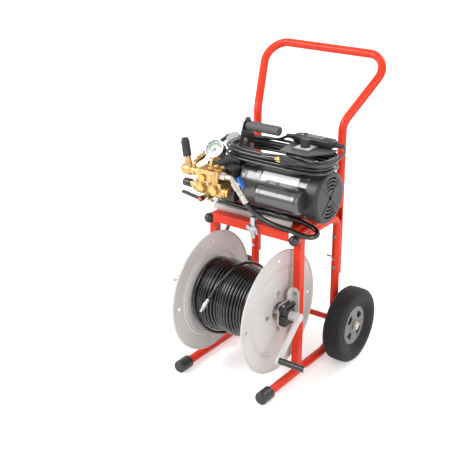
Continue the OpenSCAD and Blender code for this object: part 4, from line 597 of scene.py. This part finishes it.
# bearing housings in two halves, with a clamp screw each
housing = {"x": (149.2, 174.0), "screwX": 161.6, "screwY": (-163, -122), "top": 289.4, "edge": 3.2, "blocks": (
    ((-169.5, -115.5), (222.0, 257.6)), ((-167.5, -117.5), (258.4, 288.0)), ((-175.0, -110.0), (275.0, 289.5))),
    "core": ((-160, -125), (250, 266))}
bm = bmesh.new()
for side in (-1, 1):
    x0, x1 = sorted(side * v for v in housing["x"])
    for (y0, y1), (z0, z1) in housing["blocks"]:
        addBox(bm, (x0, y0, z0), (x1, y1, z1), housing["edge"])
    (y0, y1), (z0, z1) = housing["core"]
    addBox(bm, (x0 + 3, y0, z0), (x1 - 3, y1, z1), 1.0)
finished(bm, "bearingHousings", "bearing_black", stands=("bearing_blocks",))
bm = bmesh.new()
for side in (-1, 1):
    for y in housing["screwY"]:
        addBolt(bm, (side * housing["screwX"], y, housing["top"]), (0, 0, 1), 5.0, 4.5, 2.6, 20)
finished(bm, "housingScrews", "zinc")
print("bearings dressed")

# sleeves crimped on the hoses' ends
sleeves = {"feedTop": ((-173, -113, 707.5), (0, 15, 4.1), 30, 9.8, "knob_black"),
           "feedFoot": ((-250, -123, 255), (0, 1, 0), 28, 9.8, "knob_black"),
           "waterTop": ((9, -168, 622.8), (16, 0, -19.4), 27, 11.2, "valve_nickel")}
for name, (at, way, long, r, slot) in sleeves.items():
    rings = [(r - 2.5, -0.5), (r - 0.8, 0)]
    for k in range(3):
        a = long * (0.22 + 0.22 * k)
        rings += [(r, a - 3), (r, a - 1), (r - 0.9, a), (r, a + 1)]
    rings += [(r, long * 0.86), (r - 0.8, long), (r - 3.4, long + 0.2)]
    bm = bmesh.new()
    addTurned(bm, eased(rings, 0.5, 2), way, at, 36)
    finished(bm, name + "Sleeve", slot, smoothDeg=45)


def strainRelief(bm, at, way, long, wide, thin, rings=5):
    # a tapered ribbed sleeve round a cord
    rows = [(wide * 0.6, -0.5), (wide, 0)]
    for k in range(rings):
        a = long * (k + 0.5) / rings
        r = wide + (thin - wide) * a / long
        w = long / rings
        rows += [(r, a - 0.28 * w), (r, a + 0.12 * w), (r - 1.1, a + 0.2 * w), (r - 1.1, a + 0.42 * w)]
    rows += [(thin, long), (thin - 1.2, long + 0.2)]
    addTurned(bm, eased(rows, 0.35, 2), way, at, 28)


# ground-fault box on the power cord, with two buttons and a bare plate
faultBox = {"x": (74, 210), "y": (8, 48), "z": (757.4, 784.4), "ribs": 5, "ribStep": 4.4, "cordY": 28, "cordZ": 770}
bm = bmesh.new()
(x0, x1), (y0, y1), (z0, z1) = faultBox["x"], faultBox["y"], faultBox["z"]
addBox(bm, (x0, y0, z0), (x1, y1, z1), 8.0, 5)
addBox(bm, (x0 - 6, y0 + 6, z0 + 3), (x0 + 20, y1 - 6, z1 - 3), 5.0, 4)
addBox(bm, (x1 - 20, y0 + 6, z0 + 3), (x1 + 6, y1 - 6, z1 - 3), 5.0, 4)
for k in range(faultBox["ribs"]):
    inward = 14 + faultBox["ribStep"] * k
    for x in (x0 + inward, x1 - inward):
        addBox(bm, (x - 1.1, y0 - 0.7, z0 + 6), (x + 1.1, y1 + 0.7, z1 - 6), 0.6, 2)
finished(bm, "faultBox", "box_black", stands=("ground_fault_box",), smoothDeg=45)
bm = bmesh.new()
strainRelief(bm, (x0 - 4, faultBox["cordY"], faultBox["cordZ"]), (-1, 0.02, 0), 30, 9.0, 6.4)
strainRelief(bm, (x1 + 4, faultBox["cordY"], faultBox["cordZ"]), (1, 0, 0), 28, 9.0, 6.4)
finished(bm, "faultBoxReliefs", "box_black")
bm = bmesh.new()
addBox(bm, (118, 13, z1 - 0.4), (176, 43, z1 + 0.35), 0.3, 2)
finished(bm, "faultBoxPlate", "plate_grey", finish=plateDark)
amber = moulded("buttonAmber", (0.62, 0.36, 0.06), (0.68, 0.42, 0.10), 0.4)
bm = bmesh.new()
addBox(bm, (97, 17, z1 - 1), (106, 24, z1 + 1.6), 1.0, 3)
finished(bm, "resetButton", "button_orange", finish=amber)
bm = bmesh.new()
addBox(bm, (96, 30, z1 - 1), (108, 42, z1 + 2.2), 1.2, 3)
finished(bm, "testButton", "knob_black")

# mains plug with two flat blades and a round pin
mainsPlug = {"face": 118, "mid": (-122, 745), "bladeTip": 98.5, "bladeSide": 6.35, "ribs": 4, "slim": 0.62}
yMid, zMid = mainsPlug["mid"]
plugFace, tip = mainsPlug["face"], mainsPlug["bladeTip"]
bm = bmesh.new()
addBox(bm, (plugFace, yMid - 13, zMid - 13), (plugFace + 18, yMid + 13, zMid + 13), 4.0, 4)
addBox(bm, (plugFace + 14, yMid - 12, zMid - 12), (plugFace + 60, yMid + 12, zMid + 12), 5.0, 4,
       slim=(0, mainsPlug["slim"], 1))
for k in range(mainsPlug["ribs"]):
    x, wide = plugFace + 22 + 6 * k, 11.8 - 0.9 * k
    addBox(bm, (x, yMid - wide, zMid - 7), (x + 3, yMid + wide, zMid + 7), 0.8, 2)
strainRelief(bm, (plugFace + 56, yMid, zMid), (1, 0, 0), 36, 8.2, 6.2)
finished(bm, "mainsPlug", "box_black", stands=("plug",), smoothDeg=45)
bm = bmesh.new()
for side in (-1, 1):
    y = yMid + side * mainsPlug["bladeSide"]
    addBox(bm, (tip, y - 0.8, zMid - 0.5), (plugFace + 1, y + 0.8, zMid + 6.0), 0.5, 2)
addTurned(bm, [(0, 0), (1.6, 0), (2.4, 1.2), (2.4, 20), (0, 20)], (1, 0, 0), (tip, yMid, zMid - 7), 20)
finished(bm, "plugBlades", "plug_brass")

# gland where the cord leaves the switch box
gland = {"at": (85, -50, 714), "long": 24, "wide": 8.4, "thin": 6.2}
bm = bmesh.new()
strainRelief(bm, gland["at"], (-1, 0, 0), gland["long"], gland["wide"], gland["thin"])
finished(bm, "switchGland", "box_black")
print("power lead dressed")

# pump head: broken edges, the deck sunk inside a rim, screws, domed caps and turned bands
pump = {"deckTop": 686.0, "rim": 3.6, "sunk": 2.2, "edge": 2.2, "screwX": (-148.6, -103, -57.4), "screwZ": 643.5,
        "plateX": (-136, -84), "capX": (-127, -79), "capRadius": 13.0, "crossAt": (-175, 622),
        "postAt": (-83.6, -179)}
headPiece = softened("pump_head", pump["edge"], segments=3)
bm = bmesh.new()
bm.from_mesh(headPiece.data)
deck = [f for f in bm.faces if f.normal.z > 0.99 and abs(f.calc_center_median().z - pump["deckTop"] / 1000) < 1e-4]
bmesh.ops.inset_region(bm, faces=deck, thickness=pump["rim"] / 1000, depth=-pump["sunk"] / 1000, use_even_offset=True)
bm.to_mesh(headPiece.data)
bm.free()
bm = bmesh.new()
for x in pump["screwX"]:
    addBolt(bm, (x, -190, pump["screwZ"]), (0, -1, 0), 4.7, 5.6, 2.4, 24)
for x in pump["plateX"]:
    addBolt(bm, (x, -189.6, 679), (0, -1, 0), 3.2, 1.6, 1.5, 20)
finished(bm, "headScrews", "zinc")
bm = bmesh.new()
r = pump["capRadius"]
dome = [(0, 7.6), (r * 0.62, 7.4), (r * 0.8, 6.2), (r + 0.6, 6.0), (r + 1.0, 4.6), (r + 1.0, 1.2), (r, 0.4), (0, 0.4)]
for x in pump["capX"]:
    addTurned(bm, eased(dome, 0.8, 3), (0, -1, 0), (x, -197, 628), 40)
endCap = [(0, 2.4), (11.4, 2.2), (13.8, 1.2), (15.0, -0.4), (15.0, -3.0), (0, -3.0)]
addTurned(bm, eased(endCap, 0.8, 3), (1, 0, 0), (-36.4, *pump["crossAt"]), 44)
smallCap = [(0, 1.2), (6.0, 1.1), (8.2, 0.4), (9.2, -0.6), (9.2, -2.0), (0, -2.0)]
addTurned(bm, eased(smallCap, 0.6, 3), (0, -1, 0), (pump["capX"][0], -193.4, 659), 36)
finished(bm, "headCaps", "plug_brass", smoothDeg=45)
bm = bmesh.new()
for a, r in ((-56, 16.6), (-46, 17.0)):
    band = [(r - 2, a - 2.4), (r, a - 1.8), (r, a + 1.8), (r - 2, a + 2.4)]
    addTurned(bm, eased(band, 0.5, 2), (1, 0, 0), (0, *pump["crossAt"]), 48)
for z0, z1, r in ((640.5, 645.0, 14.0), (664.0, 668.0, 13.8)):
    band = [(r - 2, z0 - 0.6), (r, z0), (r, z1), (r - 2, z1 + 0.6)]
    addTurned(bm, eased(band, 0.5, 2), (0, 0, 1), (*pump["postAt"], 0), 40)
finished(bm, "headBands", "brass", smoothDeg=45)
print("pump dressed")

# regulator: rounded brass end, rings under the knob and collars on the pipe to the head
regulator = {"x": -194, "pipe": (-170, 668), "foot": (-194, -170, 681), "lean": 9}
lean = math.radians(regulator["lean"])
stemWay = Vector((-math.sin(lean), 0, math.cos(lean)))
bm = bmesh.new()
ball = [(0, -25.5), (8.0, -24.6), (14.0, -21.0), (17.2, -15.0), (18.0, -6.0), (18.0, 6.0), (16.6, 12.5), (13.4, 15.8),
        (12.4, 18.0), (0, 18.0)]
addTurned(bm, eased(ball, 2.5, 3), (1, 0, 0), (regulator["x"], *regulator["pipe"]), 48)
for a0, a1, r in ((0.0, 5.0, 13.6), (6.0, 9.0, 11.6), (10.0, 14.5, 13.2)):
    ring = [(4, a0), (r - 0.8, a0), (r, a0 + 0.8), (r, a1 - 0.8), (r - 0.8, a1), (4, a1)]
    addTurned(bm, eased(ring, 0.5, 2), stemWay, regulator["foot"], 36)
finished(bm, "regulatorBody", "brass", smoothDeg=45)
bm = bmesh.new()
neckHex = [(10.8, -162.0), (13.4, -162.0), (13.4, -150.5), (10.8, -150.5)]
neckRing = [(10.8, -176.5), (14.4, -176.0), (14.4, -164.5), (10.8, -164.0)]
for collar, steps in ((neckHex, 6), (neckRing, 36)):
    addTurned(bm, eased(collar, 0.6, 2), (1, 0, 0), (0, *regulator["pipe"]), steps)
finished(bm, "regulatorCollar", "plug_brass", smoothDeg=30)

# carry handle: bronze bolts on the bracket, a black bolt on top and a collar beside the grip
carry = {"bracketX": -62, "low": 682, "top": 802, "wide": 78, "bolts": ((-0.2, 0.62), (0.25, 0.42), (-0.15, 0.25)),
         "boltAt": (-60, -40, 817), "gripY": -40, "endX": -66, "gripEndX": 58.8}
bronze = plated("bronzeZinc", (0.42, 0.36, 0.29), (0.30, 0.26, 0.21), 0.36)
bm = bmesh.new()
for side, rise in carry["bolts"]:
    high = carry["low"] + rise * (carry["top"] - carry["low"])
    at = (carry["bracketX"], cart["motorY"] + side * carry["wide"], high)
    addTurned(bm, eased([(0, 2.0), (9.0, 2.0), (9.0, 0.2), (0, 0.2)], 0.5, 2), (1, 0, 0), at, 32)
    addBolt(bm, (at[0] + 2.0, at[1], at[2]), (1, 0, 0), 7.2, 5.2)
finished(bm, "carryBolts", "zinc", finish=bronze, smoothDeg=25)
bm = bmesh.new()
washer = [(0, 2.6), (10.5, 2.6), (10.5, -1.0), (0, -1.0)]
addTurned(bm, eased(washer, 0.6, 2), (0, 0, 1), carry["boltAt"], 36)
boltX, boltY, boltZ = carry["boltAt"]
addBolt(bm, (boltX, boltY, boltZ + 2.4), (0, 0, 1), 8.4, 7.6)
endDome = [(0, 3.6), (9.6, 3.4), (12.2, 1.8), (12.6, 0), (0, 0)]
addTurned(bm, eased(endDome, 0.8, 3), (-1, 0, 0), (carry["endX"], carry["gripY"], carry["top"]), 36)
finished(bm, "carryTopBolt", "guard_black", smoothDeg=25)
bm = bmesh.new()
leftCollar = [(13.0, 0.1), (16.2, 0.1), (16.2, 3.4), (15.4, 4.2), (13.0, 4.2)]
addTurned(bm, eased(leftCollar, 0.6, 2), (1, 0, 0), (carry["bracketX"], carry["gripY"], carry["top"]), 44)
endRing = [(8.2, 0.0), (10.6, 0.4), (10.6, 1.2), (8.2, 1.4)]
addTurned(bm, eased(endRing, 0.4, 2), (1, 0, 0), (carry["gripEndX"], carry["gripY"], carry["top"]), 36)
finished(bm, "gripCollar", "knob_black")

# bare tag hung on the pressure hose by a tie
tag = {"outline": [(-138, -13, 709), (-150, -17, 718.5), (-159, -18.5, 729), (-162, -16, 739), (-157, -7, 748.5),
                   (-148, 3, 754), (-134, 13.5, 756), (-130, 6, 741), (-129, 0, 727)], "thick": 0.7, "round": 5.0,
       "hose": (-168, 0, 736), "way": (0.004, 0.98, 0.2)}
bm = bmesh.new()
leaf = bm.faces.new([bm.verts.new(place(*p)) for p in tag["outline"]])
bmesh.ops.bevel(bm, geom=leaf.verts[:], offset=tag["round"] / 1000, offset_type="OFFSET", segments=4, profile=0.5,
                affect="VERTICES", material=-1)
bmesh.ops.recalc_face_normals(bm, faces=bm.faces)
bmesh.ops.solidify(bm, geom=bm.faces[:], thickness=tag["thick"] / 1000)
finished(bm, "cordTag", "plate_grey", finish=plateWhite)
bm = bmesh.new()
addTurned(bm, [(7.2, -1.8), (8.4, -1.8), (8.4, 1.8), (7.2, 1.8)], tag["way"], tag["hose"], 32)
addBox(bm, (-162.5, -3.2, 731.5), (-155.5, 3.2, 737.5), 1.2, 3)
finished(bm, "tagTie", "box_black")

# capacitor cover: stepped end band, raised panels and a pale trim strip above it; screws round the motor's rim
capacitor = {"y": -142, "z": 632, "panels": ((96, 134), (142, 174)), "panelDeg": 48, "panelArc": 26,
             "strips": ((70, 108), (112, 178)), "screwX": (76, 172), "rimX": 196.3, "rimRadius": 81,
             "rimDeg": (-38, 13, 52)}
bm = bmesh.new()
axisAt = (0, capacitor["y"], capacitor["z"])
endBand = [(34.5, 182.0), (36.2, 182.0), (37.4, 183.4), (37.4, 196.0), (36.0, 199.5), (34.5, 200.0)]
nearBand = [(34.5, 70.0), (36.0, 70.4), (36.8, 71.6), (36.8, 75.0), (34.5, 75.6)]
for band in (endBand, nearBand):
    addTurned(bm, eased(band, 0.7, 3), (1, 0, 0), axisAt, 64)
low = math.radians(capacitor["panelDeg"] - capacitor["panelArc"] / 2)
for x0, x1 in capacitor["panels"]:
    sheet = [(35.4, -x1), (37.1, -x1), (37.1, -x0), (35.4, -x0)]
    addTurned(bm, sheet, (-1, 0, 0), axisAt, 8, arc=capacitor["panelArc"], first=(0, -math.cos(low), math.sin(low)))
finished(bm, "capacitorBands", "motor_black", smoothDeg=40)
bm = bmesh.new()
for x0, x1 in capacitor["strips"]:
    addBox(bm, (x0, -124, 667.5), (x1, -117, 671.5), 0.8, 2)
for x in capacitor["screwX"]:
    addBolt(bm, (x, -129, 665.5), (0, -0.5, 0.86), 4.0, 3.0, 1.6, 18)
for deg in capacitor["rimDeg"]:
    outY, outZ = -math.cos(math.radians(deg)), math.sin(math.radians(deg))
    rim = capacitor["rimRadius"]
    at = (capacitor["rimX"], cart["motorY"] + rim * outY, cart["motorZ"] + rim * outZ)
    addBolt(bm, at, (0, outY, outZ), 3.6, 2.6)
finished(bm, "motorTrim", "zinc")

# pale face of the switch, under its knob
switch = {"low": (113, -47, 762.9), "high": (163, 3, 763.22), "edge": 0.15}
bm = bmesh.new()
addBox(bm, switch["low"], switch["high"], switch["edge"], 1)
finished(bm, "switchFace", "plate_grey", finish=plateWhite)
print("motor and handle trimmed")

# base rails: drawn sections with two grooves along the top
rails = {"wide": 20.0, "tall": 18.0, "groove": 3.0, "deep": 3.2, "at": (3.6, 13.4), "edge": 0.8}
railLow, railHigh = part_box("base_rails")
section = [(0, 0), (0, rails["tall"])]
for side in rails["at"]:
    section += [(side, rails["tall"]), (side, rails["tall"] - rails["deep"]),
                (side + rails["groove"], rails["tall"] - rails["deep"]), (side + rails["groove"], rails["tall"])]
section += [(rails["wide"], rails["tall"]), (rails["wide"], 0)]
bm = bmesh.new()
for front in (railLow[1], railHigh[1] - rails["wide"] / 1000):
    end = bm.faces.new([bm.verts.new((railLow[0], front + y / 1000, railLow[2] + z / 1000)) for y, z in section])
    far = bmesh.ops.extrude_face_region(bm, geom=[end], use_keep_orig=True)["geom"]
    farVerts = [v for v in far if isinstance(v, bmesh.types.BMVert)]
    bmesh.ops.translate(bm, vec=(railHigh[0] - railLow[0], 0, 0), verts=farVerts)
bmesh.ops.recalc_face_normals(bm, faces=bm.faces)
corners = [e for e in bm.edges if e.calc_face_angle(0) > 1]
bmesh.ops.bevel(bm, geom=corners, offset=rails["edge"] / 1000, offset_type="OFFSET", segments=2, profile=0.5,
                affect="EDGES", material=-1, clamp_overlap=True)
finished(bm, "groovedRails", "base_grey", stands=("base_rails",), merge=False)

# nut on the reel's swivel
swivel = {"start": -262.0, "end": -287.0, "radius": 12.0}
bm = bmesh.new()
nutLong = swivel["start"] - swivel["end"]
nut = [(0, nutLong), (8.0, nutLong), (swivel["radius"], nutLong - 2.0), (swivel["radius"], 3.0), (9.6, 1.4),
       (9.6, -4.0), (0, -4.0)]
button = [(0, nutLong + 2.4), (4.6, nutLong + 2.2), (5.4, nutLong + 1.0), (5.4, nutLong - 0.4), (0, nutLong - 0.4)]
for profile, steps in ((nut, 6), (eased(button, 0.5, 2), 24)):
    addTurned(bm, profile, (-1, 0, 0), (swivel["start"], cart["reelY"], cart["reelZ"]), steps)
finished(bm, "swivelNut", "valve_nickel", finish=bronze, smoothDeg=25)
print("base rails and swivel dressed")

# floor, backdrop and soft light
studio = {"floor": 14, "sky": 0.6, "nearFloor": 0.9, "farFloor": 2.6, "glow": 0.4, "lamps": {
    "keyLamp": {"at": (-1.8, -2.3, 2.7), "aim": (0, 0, 0.5), "size": 1.7, "power": 92},
    "fillLamp": {"at": (2.8, -1.2, 1.8), "aim": (0, 0, 0.5), "size": 1.6, "power": 40},
    "backLamp": {"at": (0.6, 2.6, 2.6), "aim": (0, 0, 0.6), "size": 1.6, "power": 34}}}
floorMesh = bmesh.new()
bmesh.ops.create_grid(floorMesh, x_segments=1, y_segments=1, size=studio["floor"])
floorData = bpy.data.meshes.new("studioFloor")
floorMesh.to_mesh(floorData)
floorMesh.free()
floor = bpy.data.objects.new("studioFloor", floorData)
scene.collection.objects.link(floor)


def seenDirectly(finish):  # camera, mirror and glass rays
    camera, glossy, glass = [finish.add("ShaderNodeLightPath", out=ray)
                             for ray in ("Is Camera Ray", "Is Glossy Ray", "Is Transmission Ray")]
    return camera.sum("MAXIMUM", camera, camera.sum("MAXIMUM", glossy, glass))


paper = Finish("paleFloor", Roughness=0.9, **{"Base Color": (0.93, 0.93, 0.93), "Specular IOR Level": 0.1,
                                              "Emission Strength": 1.0})
away = paper.add("ShaderNodeVectorMath", {"operation": "LENGTH"}, {0: paper.objectPlace()}, out="Value")
fade = paper.ramp(away, studio["nearFloor"], studio["farFloor"])
glow = seenDirectly(paper) * (1 - (1 - studio["glow"]) * (1 - fade))
paper.set(Emission_Color=paper.mix(glow, (0, 0, 0), (1, 1, 1)))
floorData.materials.append(paper.mat)

softSky = Finish("softSky", sky=True, Color=(1, 1, 1))
softSky.set(Strength=studio["sky"] + (1 - studio["sky"]) * seenDirectly(softSky))
scene.world = softSky.mat


def softLamp(name, at, aim, size, power):
    lamp = bpy.data.lights.new(name, "AREA")
    lamp.shape, lamp.size, lamp.energy = "SQUARE", size, power
    obj = bpy.data.objects.new(name, lamp)
    scene.collection.objects.link(obj)
    obj.location = at
    obj.rotation_euler = (Vector(aim) - Vector(at)).to_track_quat("-Z", "Y").to_euler()


for name, lamp in studio["lamps"].items():
    softLamp(name, **lamp)
print("studio lit")
